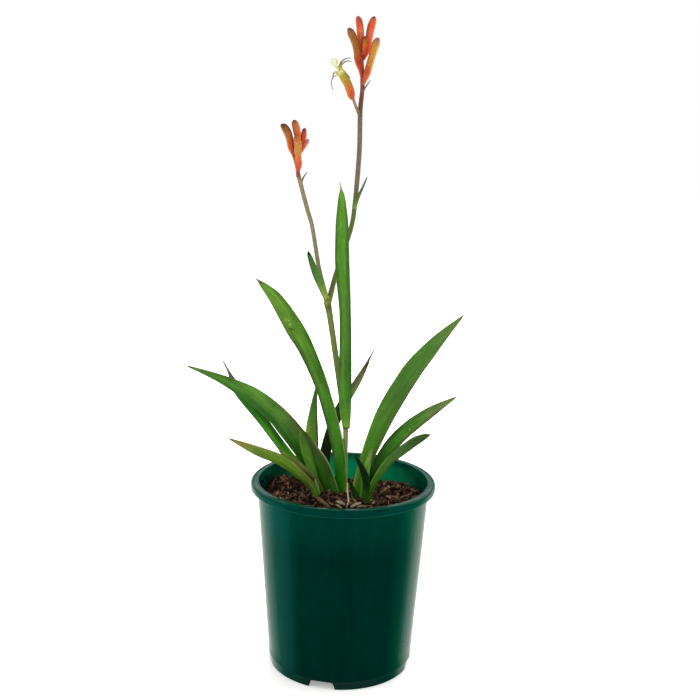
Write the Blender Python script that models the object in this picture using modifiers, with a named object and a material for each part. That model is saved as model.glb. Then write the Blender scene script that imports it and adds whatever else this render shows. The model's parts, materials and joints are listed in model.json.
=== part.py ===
"""Kangaroo paw in a 140 mm nursery pot.

Sizes are millimetres measured from the pot's axis (x right, y away, z up from the foot) and
become metres through MM. The leaves stand in two fans, with each leaf in its own layer.
"""

import math

import bmesh
import bpy
import numpy as np
from mathutils import Matrix, Vector, noise

MM = 0.001
SEAT_GAP = 0.3

# Pot
RIM_RADIUS = 70.0
POT_HEIGHT = 145.2
RIM_DEPTH = 5.8
RIM_INNER_RADIUS = 64.2
LIP_THICKNESS = 1.7
WALL_TOP_RADIUS = 64.9
FOOT_RADIUS = 54.8
WALL = 1.8
FOOT_WIDTH = 3.2
FLOOR_UNDERSIDE = 6.8
FLOOR_TOP = 9.0
FLOOR_FILLET = 2.4
TURN_STEPS = 64
NOTCH_WIDTH = 22.0
NOTCH_TOP_WIDTH = 17.0
NOTCH_HEIGHT = 6.0
NOTCH_AZIMUTHS = (-103.5, -13.5, 76.5, 166.5)
DRAIN_RADIUS = 6.0
DRAIN_CIRCLE = 38.0

# Potting mix
MIX_LEVEL = 127.5
MIX_RINGS = 13
MIX_STEPS = 54
CHUNK = 8.5
CHUNK_HEIGHT = 3.0
CHUNK_SEED = 1795753157
# Mounds on the mix: x, y, height, spread
MOUNDS = ((2.0, -6.0, 6.0, 24.0), (-50.0, 26.0, 9.0, 17.0), (-52.0, -10.0, 5.0, 16.0),
          (48.0, 20.0, 4.0, 20.0))
HOLE_REACH = 26.0

BLADE = 1.0
BLADE_STATIONS = 15
SPROUT_STATIONS = 7
HOLE_STATIONS = 5

# Leaf routes from root to tip: x, y, z, width. curl is the half angle in degrees that the blade
# curves round its length, positive with its margins away from the viewer, and twist turns the
# blade about its length between root and tip.
LEAVES = {
    "leaf_long_left": {
        "route": [(0, 0, 124, 7), (-4.2, 0.6, 167, 9.8), (-15.8, 5.6, 210, 10), (-28.5, 10.7, 240, 12),
                  (-39, 13.8, 258, 14.6), (-52.6, 18, 278.8, 11), (-60.8, 19.9, 286, 6.4), (-69, 22, 294, 1)],
        "curl": 14, "twist": 14,
    },
    "leaf_broad_left": {
        "route": [(-5.2, -3, 124, 10.6), (-15.7, -4.1, 152, 14), (-26.3, -6, 167.3, 16),
                  (-38, -9, 182, 16.5), (-50.5, -13.8, 198, 15.5), (-66.5, -20.6, 213.5, 13),
                  (-80.5, -28, 223.5, 9.4), (-94, -36, 232, 5.5), (-112, -48, 242, 1)],
        "curl": 16, "twist": -8,
    },
    "leaf_thread_left": {
        "route": [(-15, -1.5, 124, 6), (-28, 1.4, 145, 6.5), (-45, 9.1, 163, 7.5),
                  (-65, 20.7, 184.3, 9), (-76.6, 29, 197.3, 8.4), (-83.6, 35, 209.6, 2), (-97, 45, 225, 1)],
        "curl": 12, "twist": 12,
    },
    "leaf_low_left": {
        "route": [(-14, -7.5, 124, 5.5), (-23, -11, 141, 6.5), (-32, -15, 152, 8),
                  (-45, -19, 163.9, 9.3), (-65, -25, 174.1, 7.8), (-84.5, -31, 184.6, 1)],
        "curl": 14, "twist": -16,
    },
    "leaf_withered_left": {
        "route": [(-13, -6.2, 126, 3.5), (-19, -7.2, 143.6, 4), (-30, -10.5, 156, 4.6),
                  (-40, -14, 165, 3.6), (-48, -18, 171.5, 1)],
        "curl": 40, "twist": 30,
    },
    "leaf_short_left": {
        "route": [(-15, -4.5, 124, 5), (-21, -5, 143.5, 6), (-26.5, -7.2, 163.5, 8),
                  (-29.5, -10, 174, 7), (-33.5, -14, 189.5, 1)],
        "curl": -12, "twist": 10,
    },
    "leaf_upright_back": {
        "route": [(-12, 1.5, 124, 6), (-18, 2.4, 143, 7), (-23, 7.1, 161, 8.5), (-25, 14, 178, 9.8),
                  (-24, 22, 196, 5.4), (-22, 30, 213, 1)],
        "curl": 12, "twist": -10,
    },
    "leaf_dark_back": {
        "route": [(-17, 5.5, 124, 6), (-15, 8, 140, 7.5), (-14, 15.1, 163, 8.5), (-5, 27.6, 190, 8.6),
                  (8.4, 38.5, 211, 5.9), (22.6, 50, 234, 1)],
        "curl": -14, "twist": 22,
    },
    "leaf_long_right": {
        "route": [(8, -10, 122, 6), (11.2, -9, 144, 7.6), (19, -5.5, 168.3, 11),
                  (31.3, 1.6, 197.3, 14.8), (48.2, 10.6, 225, 15), (60.7, 16.3, 240.3, 12.8),
                  (73.1, 22.5, 253.3, 8.4), (90, 30, 269, 1)],
        "curl": 13, "twist": -14,
    },
    "leaf_middle_right": {
        "route": [(16, -11.6, 122, 6), (18, -11.4, 141, 6.5), (28.4, -9.6, 165, 9.6),
                  (42.2, -7.4, 183.3, 11.3), (62.3, -4.7, 199.5, 9.3), (84.2, -2, 212.6, 1)],
        "curl": -15, "twist": 12,
    },
    "leaf_low_right": {
        "route": [(17.5, -15, 122, 4.5), (20, -16.6, 141, 4.6), (31.3, -21.6, 164, 6.2),
                  (47.8, -26.4, 181, 6.5), (63, -30, 190.6, 1)],
        "curl": 16, "twist": -12,
    },
    "leaf_dark_right": {
        "route": [(16, -16.5, 122, 4.6), (17, -19.1, 140, 5.2), (17, -22.2, 151, 6),
                  (13.5, -26, 162.5, 4.4), (8, -30, 174, 1)],
        "curl": 14, "twist": 10,
    },
    "leaf_small_right": {
        "route": [(15.5, -13.6, 122, 5), (17, -14, 143, 5.4), (18.3, -14, 157, 6), (22.7, -13.6, 175, 1)],
        "curl": 20, "twist": 6,
    },
    "sprout_front": {
        "route": [(13.5, -18, 121, 4.5), (9.8, -21, 138, 5), (4.3, -26, 153, 1)],
        "curl": 18, "twist": 0,
    },
}
SPROUTS = (
    {"route": [(-16, -9.8, 124, 3), (-18.6, -12.6, 138.5, 3.2), (-21, -14, 149.5, 1)], "curl": 20},
    {"route": [(-17, -10, 124, 3), (-21.5, -14, 139.5, 3), (-26, -16.5, 148.5, 1)], "curl": 20},
)

# Stem leaf: its sheath curls right round the scape at the foot and opens upwards
STEM_LEAF = [(1.4, 1.2, 184, 11, 112), (0.5, 1.0, 197, 10, 55), (-0.2, 0, 212, 10, 20),
             (-0.4, -3.6, 240, 9.4, 12), (-1.4, -7, 276, 8.8, 12), (-4, -9.5, 309, 10.4, 12),
             (-4.8, -12, 337, 9.4, 14), (-5.2, -13, 353, 6.2, 14), (-6.3, -14, 368, 1, 4)]
FORK_BRACT = [(-15, 4.7, 282, 4.4), (-18.6, 1, 291, 5), (-23.2, -2.5, 302, 5.4),
              (-27.4, -6.5, 314, 3.6), (-29, -8, 319, 1)]
UPPER_BRACT = [(3.6, 10, 348, 4), (6.8, 9.8, 357, 3.6), (9.3, 9.4, 363, 2.4), (12.3, 8, 371, 1)]
BRACT_BLADE = 0.8

# Flower stem routes: x, y, z, radius
SCAPE = [(2, 5.6, 123, 2.1), (1.6, 5.2, 160, 2.0), (1.4, 4.0, 184, 1.9), (-2, 5, 202, 1.75),
         (-7.5, 6, 236, 1.8), (-10.7, 7, 257, 1.9), (-14.3, 8, 280, 2.5)]
LEFT_BRANCH = [(-14.3, 8, 278, 2.2), (-18.2, 6.6, 291, 1.75), (-22.2, 5, 307, 1.45), (-26.3, 1.5, 335, 1.4),
               (-30.3, 0, 349, 1.4), (-34.2, -2, 363, 1.4), (-36.8, -3.8, 372.5, 1.4)]
RIGHT_BRANCH = [(-13.8, 8, 279, 2.0), (-9.4, 8.6, 298, 1.6), (-4, 10, 316, 1.6), (2, 12, 336, 1.7),
                (4.2, 13, 354, 1.8), (6.4, 15.6, 389, 1.85), (6.1, 18, 420, 1.85), (7.3, 20, 439, 1.5)]
STEM_BRACTS = ([(-34.8, -2.3, 366, 0.8), (-33.5, -1.6, 370.4, 0.65), (-30.7, -0.6, 374.6, 0.45)],
               [(7, 18.8, 429.5, 0.8), (9.4, 18, 434.5, 0.6), (13.2, 16.4, 440, 0.45)])

# Flower heads: the head stalk, then buds from pedicel to tip
LEFT_HEAD_STALK = [(-36.9, -3.9, 372.9, 1.4), (-38.4, -4.6, 378.5, 1.5), (-39.8, -5.4, 384, 1.3),
                   (-41.4, -6, 388.6, 1.2)]
LEFT_HEAD_BUDS = (
    [(-40.7, -6, 387.5, 1.3), (-41.2, -6.3, 391, 2.5), (-42.6, -7, 395, 2.8), (-45.2, -8.2, 401.5, 2.8),
     (-48.1, -9.3, 406.8, 2.0), (-49.4, -9.6, 408.8, 0.8)],
    [(-39, -4.8, 381, 0.9), (-38, -3, 388, 1.7), (-37.8, -2.2, 395, 2.3), (-38.6, -1.4, 402, 2.8),
     (-40.1, -0.8, 408.5, 2.1), (-41, -0.6, 411, 0.6)],
    [(-38.4, -4.8, 376.5, 1.0), (-37, -6.6, 379.5, 2.4), (-36.8, -8.6, 384, 2.6),
     (-37.3, -10.4, 390.5, 2.5), (-38.4, -11.3, 396.5, 2.0), (-39.4, -11.7, 400.5, 0.6)],
    [(-38.6, -4.4, 382, 0.8), (-35.8, -2.2, 388.5, 1.5), (-34, 0, 394, 2.1), (-33.2, 1.4, 400, 1.9),
     (-33.1, 2, 405.6, 0.6)],
    [(-38.4, -4.8, 381, 0.8), (-35.6, -4.4, 389.4, 1.1), (-33.3, -4.4, 392.4, 1.7),
     (-31.7, -4.2, 395.4, 1.6), (-30.7, -4, 398, 0.6)],
)
TOP_HEAD_STALK = [(7.35, 20.1, 439.4, 1.4), (7.5, 20.8, 446, 1.6), (7.3, 22, 454, 1.6), (6.8, 22.4, 459, 1.2)]
TOP_HEAD_BUDS = (
    [(6.8, 22, 456, 1.1), (5.6, 21.4, 462, 2.0), (4.7, 21.2, 468.5, 2.6), (3.9, 21.4, 476, 2.7),
     (3.1, 22, 482.3, 1.7), (2.8, 22.3, 485, 0.6)],
    [(7.4, 22.2, 455, 1.1), (10.4, 22.6, 459, 2.2), (11.5, 24, 466, 2.5), (12.9, 25.6, 474.5, 2.9),
     (14.5, 26.9, 482, 2.0), (15.2, 27.2, 485.6, 0.6)],
    [(7.3, 20.6, 443, 1.1), (5.2, 19, 448, 1.3), (3.9, 18, 452.5, 2.6), (1.9, 16.9, 458.5, 2.6),
     (-0.7, 15.8, 467, 2.8), (-2.7, 15.2, 473, 2.2), (-3.7, 15, 475.8, 0.7)],
    [(7.6, 19.4, 439.9, 1.0), (10.6, 18, 442.4, 2.4), (12, 17.2, 447, 2.7), (14.3, 16.2, 455.5, 2.8),
     (16.9, 15.2, 464, 2.8), (18.6, 14.9, 468.2, 1.6), (19.1, 14.9, 469.6, 0.6)],
    [(7.5, 22.6, 454, 1.4), (8, 25, 460, 2.0), (8.4, 27.2, 466, 2.2), (8.7, 28.8, 471.8, 0.7)],
)

# Open flower: pedicel and tube, then lobes and stamens, x, y, z, radius
FLOWER_TUBE = [(4.3, 15.5, 421.6, 0.9), (2.8, 13.4, 424.2, 1.1), (1.4, 11.8, 426.5, 1.8),
               (0.5, 11, 428.3, 2.7), (-1.3, 10, 433, 3.0), (-5.1, 8.2, 439.6, 2.9),
               (-8.9, 6.5, 444.8, 2.9), (-10, 6, 446, 2.5)]
FLOWER_LOBES = (
    [(-9, 7, 445, 1.3), (-8.4, 6.8, 450, 1.0), (-5.6, 6.2, 454, 0.8), (-0.6, 5.2, 455.6, 0.45)],
    [(-8.4, 5.4, 445, 1.3), (-7, 4.8, 449.4, 1.0), (-4, 4.4, 452, 0.8), (-0.4, 4, 452, 0.45)],
    [(-10, 5, 443.8, 1.3), (-13, 4.2, 442.2, 1.0), (-15.2, 3.2, 438, 0.7), (-14.6, 2.8, 434.5, 0.6),
     (-12.9, 2.6, 432, 0.45)],
    [(-9, 8, 444.4, 1.3), (-6.6, 9.8, 447, 1.0), (-3.6, 11, 446.4, 0.7), (-2.4, 11.6, 443.6, 0.45)],
    [(-10.6, 7.4, 444.6, 1.3), (-13.4, 9, 446, 0.9), (-15.4, 10.4, 443.6, 0.6), (-15.6, 11, 440.6, 0.45)],
    [(-7.2, 5.2, 443.4, 1.2), (-5, 3.6, 442.6, 0.9), (-3.4, 3, 440, 0.6), (-3.6, 3, 437.6, 0.45)],
)
STAMEN_TIPS = ((-15.2, 3.4, 451.6), (-13.6, 1.6, 453.4), (-12, 4.6, 454.6), (-14.6, 6.4, 452.8),
               (-10.4, 7.6, 454.4), (-10.2, 2.6, 453.8))
STAMEN_ROOT = (-9.6, 6, 445)
STAMEN_RADIUS = 0.45
ANTHER_RADIUS = 0.75

COLOURS = {
    "pot": ((0.004, 0.070, 0.045), 0.28),
    "mix": ((0.060, 0.026, 0.014), 0.95),
    "leaf": ((0.060, 0.200, 0.022), 0.50),
    "dark_leaf": ((0.018, 0.070, 0.022), 0.55),
    "young_leaf": ((0.120, 0.270, 0.030), 0.50),
    "withered_leaf": ((0.120, 0.110, 0.035), 0.70),
    "stem": ((0.190, 0.150, 0.070), 0.80),
    "bud": ((0.560, 0.090, 0.020), 0.85),
    "open_flower": ((0.520, 0.330, 0.040), 0.80),
}
LEAF_COLOURS = {
    "leaf_dark_back": "dark_leaf",
    "leaf_dark_right": "dark_leaf",
    "sprout_front": "dark_leaf",
    "leaf_withered_left": "withered_leaf",
    "leaf_low_left": "young_leaf",
    "leaf_low_right": "young_leaf",
    "leaf_small_right": "young_leaf",
}


def clear_scene():
    for old in list(bpy.data.objects):
        bpy.data.objects.remove(old, do_unlink=True)


def new_collection(name):
    collection = bpy.data.collections.new(name)
    bpy.context.scene.collection.children.link(collection)
    return collection


def make_materials():
    made = {}
    for name, (colour, roughness) in COLOURS.items():
        material = bpy.data.materials.new(name)
        material.use_nodes = True
        shader = material.node_tree.nodes["Principled BSDF"]
        shader.inputs["Base Color"].default_value = (*colour, 1.0)
        shader.inputs["Roughness"].default_value = roughness
        shader.inputs["Metallic"].default_value = 0.0
        made[name] = material
    return made


def add_object(name, data, collection, material=None):
    obj = bpy.data.objects.new(name, data)
    if material:
        data.materials.append(material)
    collection.objects.link(obj)
    return obj


def evaluated_mesh(obj):
    """The object's mesh as its modifiers leave it, with a curve's loose caps welded on."""
    bpy.context.view_layer.update()
    graph = bpy.context.evaluated_depsgraph_get()
    mesh = bpy.data.meshes.new_from_object(obj.evaluated_get(graph))
    shape = bmesh.new()
    shape.from_mesh(mesh)
    bmesh.ops.remove_doubles(shape, verts=shape.verts, dist=0.000005)
    bmesh.ops.recalc_face_normals(shape, faces=shape.faces)
    shape.to_mesh(mesh)
    shape.free()
    return mesh


def applied(obj):
    """Replaces the object by a mesh object of the same name with its modifiers applied."""
    name, collection, material = obj.name, obj.users_collection[0], obj.active_material
    mesh = evaluated_mesh(obj)
    if material and not mesh.materials:
        mesh.materials.append(material)
    bpy.data.objects.remove(obj, do_unlink=True)
    mesh.name = name
    made = bpy.data.objects.new(name, mesh)
    collection.objects.link(made)
    return made


def smooth_route(waypoints, count):
    """count points, evenly spaced along a Catmull-Rom curve through the waypoints. The numbers
    that follow x, y and z in a waypoint are carried along the same curve."""
    points = np.array(waypoints, float)
    ends = np.vstack([2 * points[0] - points[1], points, 2 * points[-1] - points[-2]])
    fine = []
    for a, b, c, d in zip(ends, ends[1:], ends[2:], ends[3:]):
        for t in np.linspace(0, 1, 16, endpoint=False):
            bend = (2 * a - 5 * b + 4 * c - d) * t**2 + (3 * b - a - 3 * c + d) * t**3
            fine.append(b + 0.5 * ((c - a) * t + bend))
    fine = np.array(fine + [points[-1]])
    along = np.concatenate([[0], np.cumsum(np.linalg.norm(np.diff(fine[:, :3], axis=0), axis=1))])
    at = np.linspace(0, along[-1], count)
    return np.stack([np.interp(at, along, column) for column in fine.T], axis=1)


def route_tangents(route):
    steps = np.gradient(route[:, :3], axis=0)
    return steps / np.linalg.norm(steps, axis=1, keepdims=True)


def add_blade(name, waypoints, collection, material, curl=0, twist=0, thickness=BLADE,
              stations=BLADE_STATIONS, columns=2):
    """A long blade: a strip along the route that faces the viewer, curled across its width and
    twisted about its length, thickened by Solidify. A waypoint may hold its own curl."""
    if len(waypoints[0]) == 4:
        waypoints = [(*point, curl) for point in waypoints]
    route = smooth_route(waypoints, stations)
    shape = bmesh.new()
    rows = []
    shares = np.linspace(0, 1, stations)
    for (x, y, z, width, bend), along, share in zip(route, route_tangents(route), shares):
        tangent = Vector(along)
        across = tangent.cross(Vector((0, -1, 0))).normalized()
        across = Matrix.Rotation(math.radians(twist * share), 3, tangent) @ across
        front = across.cross(tangent)
        half = math.radians(bend) or 1e-4
        radius = width / 2 / half
        row = []
        for column in np.linspace(-1, 1, columns + 1):
            angle = half * column
            offset = across * (radius * math.sin(angle)) - front * (radius * (1 - math.cos(angle)))
            row.append(shape.verts.new((Vector((x, y, z)) + offset) * MM))
        rows.append(row)
    for low, high in zip(rows, rows[1:]):
        for i in range(columns):
            shape.faces.new((low[i], low[i + 1], high[i + 1], high[i]))
    mesh = bpy.data.meshes.new(name)
    shape.to_mesh(mesh)
    shape.free()
    mesh.shade_smooth()
    blade = add_object(name, mesh, collection, material)
    solid = blade.modifiers.new("blade", "SOLIDIFY")
    solid.thickness = thickness * MM
    solid.offset = 0
    return blade


def add_tube(name, waypoints, collection, material, spacing=4.0):
    """A round stem or bud: a curve through the waypoints, whose fourth number is the radius."""
    points = np.array(waypoints, float)
    length = np.linalg.norm(np.diff(points[:, :3], axis=0), axis=1).sum()
    route = smooth_route(waypoints, max(len(waypoints), int(length / spacing) + 2))
    data = bpy.data.curves.new(name, "CURVE")
    data.dimensions = "3D"
    data.bevel_depth = MM
    data.bevel_resolution = 2
    data.use_fill_caps = True
    spline = data.splines.new("POLY")
    spline.points.add(len(route) - 1)
    for point, (x, y, z, radius) in zip(spline.points, route):
        point.co = (x * MM, y * MM, z * MM, 1)
        point.radius = radius
    return applied(add_object(name, data, collection, material))


def fuse(name, pieces, collection, material):
    """One body from pieces that overlap: the first takes the rest by one Boolean union."""
    others = new_collection(name + "_pieces")
    for piece in pieces[1:]:
        collection.objects.unlink(piece)
        others.objects.link(piece)
    union = pieces[0].modifiers.new("join", "BOOLEAN")
    union.operation = "UNION"
    union.operand_type = "COLLECTION"
    union.collection = others
    union.solver = "EXACT"
    pieces[0].name = name
    made = applied(pieces[0])
    for piece in list(others.objects):
        bpy.data.objects.remove(piece, do_unlink=True)
    bpy.data.collections.remove(others)
    made.data.materials.clear()
    made.data.materials.append(material)


def turned(name, profile, steps, collection, material):
    mesh = bpy.data.meshes.new(name)
    edges = [(i, i + 1) for i in range(len(profile) - 1)]
    mesh.from_pydata([(r * MM, 0, z * MM) for r, z in profile], edges, [])
    obj = add_object(name, mesh, collection, material)
    screw = obj.modifiers.new("turn", "SCREW")
    screw.steps = steps
    screw.render_steps = steps
    screw.use_merge_vertices = True
    screw.merge_threshold = 0.0001
    screw.use_smooth_shade = True
    return obj


def wall_radius(z):
    top = POT_HEIGHT - RIM_DEPTH
    return FOOT_RADIUS + (WALL_TOP_RADIUS - FOOT_RADIUS) * min(z, top) / top


def pot_profile():
    """From the floor's middle out, up the inside, over the rim and down the outside."""
    lip_bottom = POT_HEIGHT - RIM_DEPTH
    lip_inner = RIM_RADIUS - LIP_THICKNESS
    flange = POT_HEIGHT - 2.0
    foot_inner = FOOT_RADIUS - FOOT_WIDTH
    floor_radius = wall_radius(FLOOR_TOP + FLOOR_FILLET) - WALL
    return [
        (0, FLOOR_TOP),
        (floor_radius - FLOOR_FILLET, FLOOR_TOP),
        (floor_radius - 0.3 * FLOOR_FILLET, FLOOR_TOP + 0.3 * FLOOR_FILLET),
        (floor_radius, FLOOR_TOP + FLOOR_FILLET),
        (wall_radius(lip_bottom) - WALL, lip_bottom),
        (RIM_INNER_RADIUS - 0.6, POT_HEIGHT - 1.2),
        (RIM_INNER_RADIUS, POT_HEIGHT - 0.2),
        (RIM_INNER_RADIUS + 0.6, POT_HEIGHT),
        (RIM_RADIUS - 2.2, POT_HEIGHT),
        (RIM_RADIUS - 1.0, POT_HEIGHT - 0.3),
        (RIM_RADIUS - 0.3, POT_HEIGHT - 1.0),
        (RIM_RADIUS, POT_HEIGHT - 2.2),
        (RIM_RADIUS, lip_bottom + 0.6),
        (RIM_RADIUS - 0.6, lip_bottom),
        (lip_inner + 0.3, lip_bottom),
        (lip_inner, lip_bottom + 0.5),
        (lip_inner - 0.3, flange),
        (wall_radius(flange) + 0.6, flange),
        (wall_radius(lip_bottom), lip_bottom - 0.4),
        (wall_radius(1.2), 1.2),
        (FOOT_RADIUS - 0.6, 0),
        (foot_inner, 0),
        (foot_inner - 0.2, FLOOR_UNDERSIDE),
        (0, FLOOR_UNDERSIDE),
    ]


def notch_cutter(name, azimuth, collection):
    """An arched block that runs in from outside the foot, narrower at its top."""
    shape = bmesh.new()
    bmesh.ops.create_cube(shape, size=1)
    depth, below = 14.0, 3.0
    for vert in shape.verts:
        high = vert.co.z > 0
        width = NOTCH_TOP_WIDTH if high else NOTCH_WIDTH
        vert.co.x = (FOOT_RADIUS + vert.co.x * depth) * MM
        vert.co.y = math.copysign(width / 2, vert.co.y) * MM
        vert.co.z = (NOTCH_HEIGHT if high else -below) * MM
    mesh = bpy.data.meshes.new(name)
    shape.to_mesh(mesh)
    shape.free()
    cutter = add_object(name, mesh, collection)
    cutter.rotation_euler.z = math.radians(azimuth)
    return cutter


def drain_cutter(name, azimuth, circle, collection):
    shape = bmesh.new()
    radius = DRAIN_RADIUS * MM
    bmesh.ops.create_cone(shape, cap_ends=True, segments=20, radius1=radius, radius2=radius, depth=12 * MM)
    mesh = bpy.data.meshes.new(name)
    shape.to_mesh(mesh)
    shape.free()
    cutter = add_object(name, mesh, collection)
    turn = math.radians(azimuth)
    cutter.location = (circle * math.cos(turn) * MM, circle * math.sin(turn) * MM, FLOOR_TOP * MM)
    return cutter


def cut(obj, cutters, solver="EXACT"):
    for cutter in cutters.objects:
        cutter.hide_render = True
        cutter.display_type = "WIRE"
    difference = obj.modifiers.new("cut", "BOOLEAN")
    difference.operation = "DIFFERENCE"
    difference.operand_type = "COLLECTION"
    difference.collection = cutters
    difference.solver = solver


def drop_scraps(obj):
    """Keeps the largest connected body of the object's mesh."""
    shape = bmesh.new()
    shape.from_mesh(obj.data)
    left = set(shape.verts)
    bodies = []
    while left:
        body, edge = set(), [left.pop()]
        while edge:
            vert = edge.pop()
            body.add(vert)
            for link in vert.link_edges:
                other = link.other_vert(vert)
                if other in left:
                    left.remove(other)
                    edge.append(other)
        bodies.append(body)
    bodies.sort(key=len)
    for scrap in bodies[:-1]:
        bmesh.ops.delete(shape, geom=list(scrap), context="VERTS")
    shape.to_mesh(obj.data)
    shape.free()


def add_pot(collection, material):
    cutters = new_collection("pot_cutters")
    for i, azimuth in enumerate(NOTCH_AZIMUTHS):
        notch_cutter(f"notch_cutter_{i}", azimuth, cutters)
        drain_cutter(f"drain_cutter_{i}", azimuth, DRAIN_CIRCLE, cutters)
    drain_cutter("drain_cutter_middle", 0, 0, cutters)
    cut(turned("pot", pot_profile(), TURN_STEPS, collection, material), cutters)


def mix_height(x, y):
    """The mix's top: mounds over a level, with each bark chunk a tilted patch of its own."""
    height = MIX_LEVEL
    for mound_x, mound_y, rise, spread in MOUNDS:
        height += rise * math.exp(-((x - mound_x) ** 2 + (y - mound_y) ** 2) / spread**2)
    spot = Vector((x / CHUNK, y / CHUNK, 0.5))
    nearest = noise.voronoi(spot)[1][0]
    lean = noise.noise_vector(nearest * 7.3)
    tilt = lean.x * (spot.x - nearest.x) + lean.y * (spot.y - nearest.y)
    return height + CHUNK_HEIGHT * (lean.z + 1.2 * tilt)


def add_potting_mix(collection, material, cutters):
    """A turned body inside the pot's wall whose top is then raised into bark chunks."""
    edge = wall_radius(MIX_LEVEL) - WALL - 2 * SEAT_GAP
    low = FLOOR_TOP + SEAT_GAP
    profile = [(edge * i / MIX_RINGS, MIX_LEVEL) for i in range(MIX_RINGS + 1)]
    corner = FLOOR_TOP + 2 * FLOOR_FILLET
    profile.append((wall_radius(corner) - WALL - SEAT_GAP, corner))
    profile.append((wall_radius(FLOOR_TOP) - WALL - FLOOR_FILLET - 2 * SEAT_GAP, low))
    profile.append((0, low))
    mix = applied(turned("potting_mix", profile, MIX_STEPS, collection, material))
    # Without a seed of its own, noise_vector differs from one run of Blender to the next.
    noise.seed_set(CHUNK_SEED)
    for vert in mix.data.vertices:
        x, y, z = vert.co / MM
        if z > MIX_LEVEL - 1:
            lifted = mix_height(x, y)
            room = wall_radius(lifted) - WALL - 2 * SEAT_GAP
            inward = min(1.0, room / edge)
            vert.co = Vector((x * inward, y * inward, lifted)) * MM
    # The leaf holes run into each other, which the MANIFOLD solver takes better than EXACT.
    cut(mix, cutters, "MANIFOLD")
    mix = applied(mix)
    drop_scraps(mix)
    mix.data.shade_flat()


def hole_cutter(name, leaf, cutters):
    """The start of a leaf's own blade, wider and thicker by the seat gap, to cut its hole."""
    route = [(x, y, z, width + 2 * SEAT_GAP) for x, y, z, width in smooth_route(leaf["route"], 40)]
    root = np.array(route[0][:3])
    reach = [point for point in route if np.linalg.norm(np.array(point[:3]) - root) < HOLE_REACH]
    down = root - np.array(reach[1][:3])
    down = down / np.linalg.norm(down) * SEAT_GAP
    first = tuple(root + down) + (route[0][3],)
    thickness = BLADE + 2 * SEAT_GAP
    add_blade(name, [first] + reach[1::4], cutters, None, leaf["curl"], 0, thickness, HOLE_STATIONS)


def add_leaves(collection, materials, cutters):
    for name, leaf in LEAVES.items():
        material = materials[LEAF_COLOURS.get(name, "leaf")]
        add_blade(name, leaf["route"], collection, material, leaf["curl"], leaf["twist"])
        hole_cutter(name + "_hole", leaf, cutters)
    pieces = []
    for i, sprout in enumerate(SPROUTS):
        blade = add_blade(f"sprout_{i}", sprout["route"], collection, None, sprout["curl"],
                          stations=SPROUT_STATIONS)
        pieces.append(applied(blade))
        hole_cutter(f"sprout_{i}_hole", sprout, cutters)
    fuse("sprouts_left", pieces, collection, materials["young_leaf"])


def add_flower_stem(collection, material, cutters):
    pieces = [add_tube("flower_stem", SCAPE, collection, None, 9)]
    pieces.append(add_tube("left_branch", LEFT_BRANCH, collection, None, 7))
    pieces.append(add_tube("right_branch", RIGHT_BRANCH, collection, None, 9))
    for i, bract in enumerate(STEM_BRACTS):
        pieces.append(add_tube(f"stem_bract_{i}", bract, collection, None, 4))
    fuse("flower_stem", pieces, collection, material)
    x, y, z, radius = SCAPE[0]
    hole = [(x, y, z - SEAT_GAP, radius + SEAT_GAP), (x, y, z + HOLE_REACH, radius + SEAT_GAP)]
    add_tube("flower_stem_hole", hole, cutters, None, HOLE_REACH)


def add_flower_head(name, stalk, buds, collection, material):
    pieces = [add_tube(name, stalk, collection, None, 5)]
    for i, bud in enumerate(buds):
        pieces.append(add_tube(f"{name}_bud_{i}", bud, collection, None, 3))
    fuse(name, pieces, collection, material)


def add_open_flower(collection, material):
    pieces = [add_tube("open_flower", FLOWER_TUBE, collection, None, 3)]
    for i, lobe in enumerate(FLOWER_LOBES):
        pieces.append(add_tube(f"lobe_{i}", lobe, collection, None, 3))
    for i, tip in enumerate(STAMEN_TIPS):
        middle = np.array(STAMEN_ROOT) * 0.3 + np.array(tip) * 0.7
        stamen = [(*STAMEN_ROOT, STAMEN_RADIUS), (*middle, STAMEN_RADIUS), (*tip, ANTHER_RADIUS)]
        pieces.append(add_tube(f"stamen_{i}", stamen, collection, None, 4))
    fuse("open_flower", pieces, collection, material)


def stand_on_origin(collection):
    """Moves everything so that the middle of the whole box stands over the origin."""
    bpy.context.view_layer.update()
    graph = bpy.context.evaluated_depsgraph_get()
    corners = []
    for obj in collection.objects:
        evaluated = obj.evaluated_get(graph)
        corners += [evaluated.matrix_world @ Vector(corner) for corner in evaluated.bound_box]
    corners = np.array(corners)
    middle = (corners.min(axis=0) + corners.max(axis=0)) / 2
    stand = bpy.data.objects.new("potted_kangaroo_paw_stand", None)
    collection.objects.link(stand)
    stand.location = (-middle[0], -middle[1], 0)
    for group in (collection, bpy.data.collections["pot_cutters"], bpy.data.collections["mix_cutters"]):
        for obj in group.objects:
            if obj is not stand:
                obj.parent = stand
    print("pot axis at", [round(value * 1000, 3) for value in stand.location])


def main():
    clear_scene()
    materials = make_materials()
    plant = new_collection("potted_kangaroo_paw")
    mix_cutters = new_collection("mix_cutters")
    add_pot(plant, materials["pot"])
    add_leaves(plant, materials, mix_cutters)
    add_flower_stem(plant, materials["stem"], mix_cutters)
    add_potting_mix(plant, materials["mix"], mix_cutters)
    add_blade("stem_leaf", STEM_LEAF, plant, materials["leaf"], thickness=BRACT_BLADE, stations=20, columns=6)
    add_blade("fork_bract", FORK_BRACT, plant, materials["leaf"], 20, 0, BRACT_BLADE, 7)
    add_blade("upper_bract", UPPER_BRACT, plant, materials["leaf"], 30, 0, BRACT_BLADE, 6)
    add_flower_head("flower_head_left", LEFT_HEAD_STALK, LEFT_HEAD_BUDS, plant, materials["bud"])
    add_flower_head("flower_head_top", TOP_HEAD_STALK, TOP_HEAD_BUDS, plant, materials["bud"])
    add_open_flower(plant, materials["open_flower"])
    stand_on_origin(plant)


main()
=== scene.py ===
import json
import math
import random

import bpy
import numpy as np
from mathutils import Matrix, Vector, noise

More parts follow.
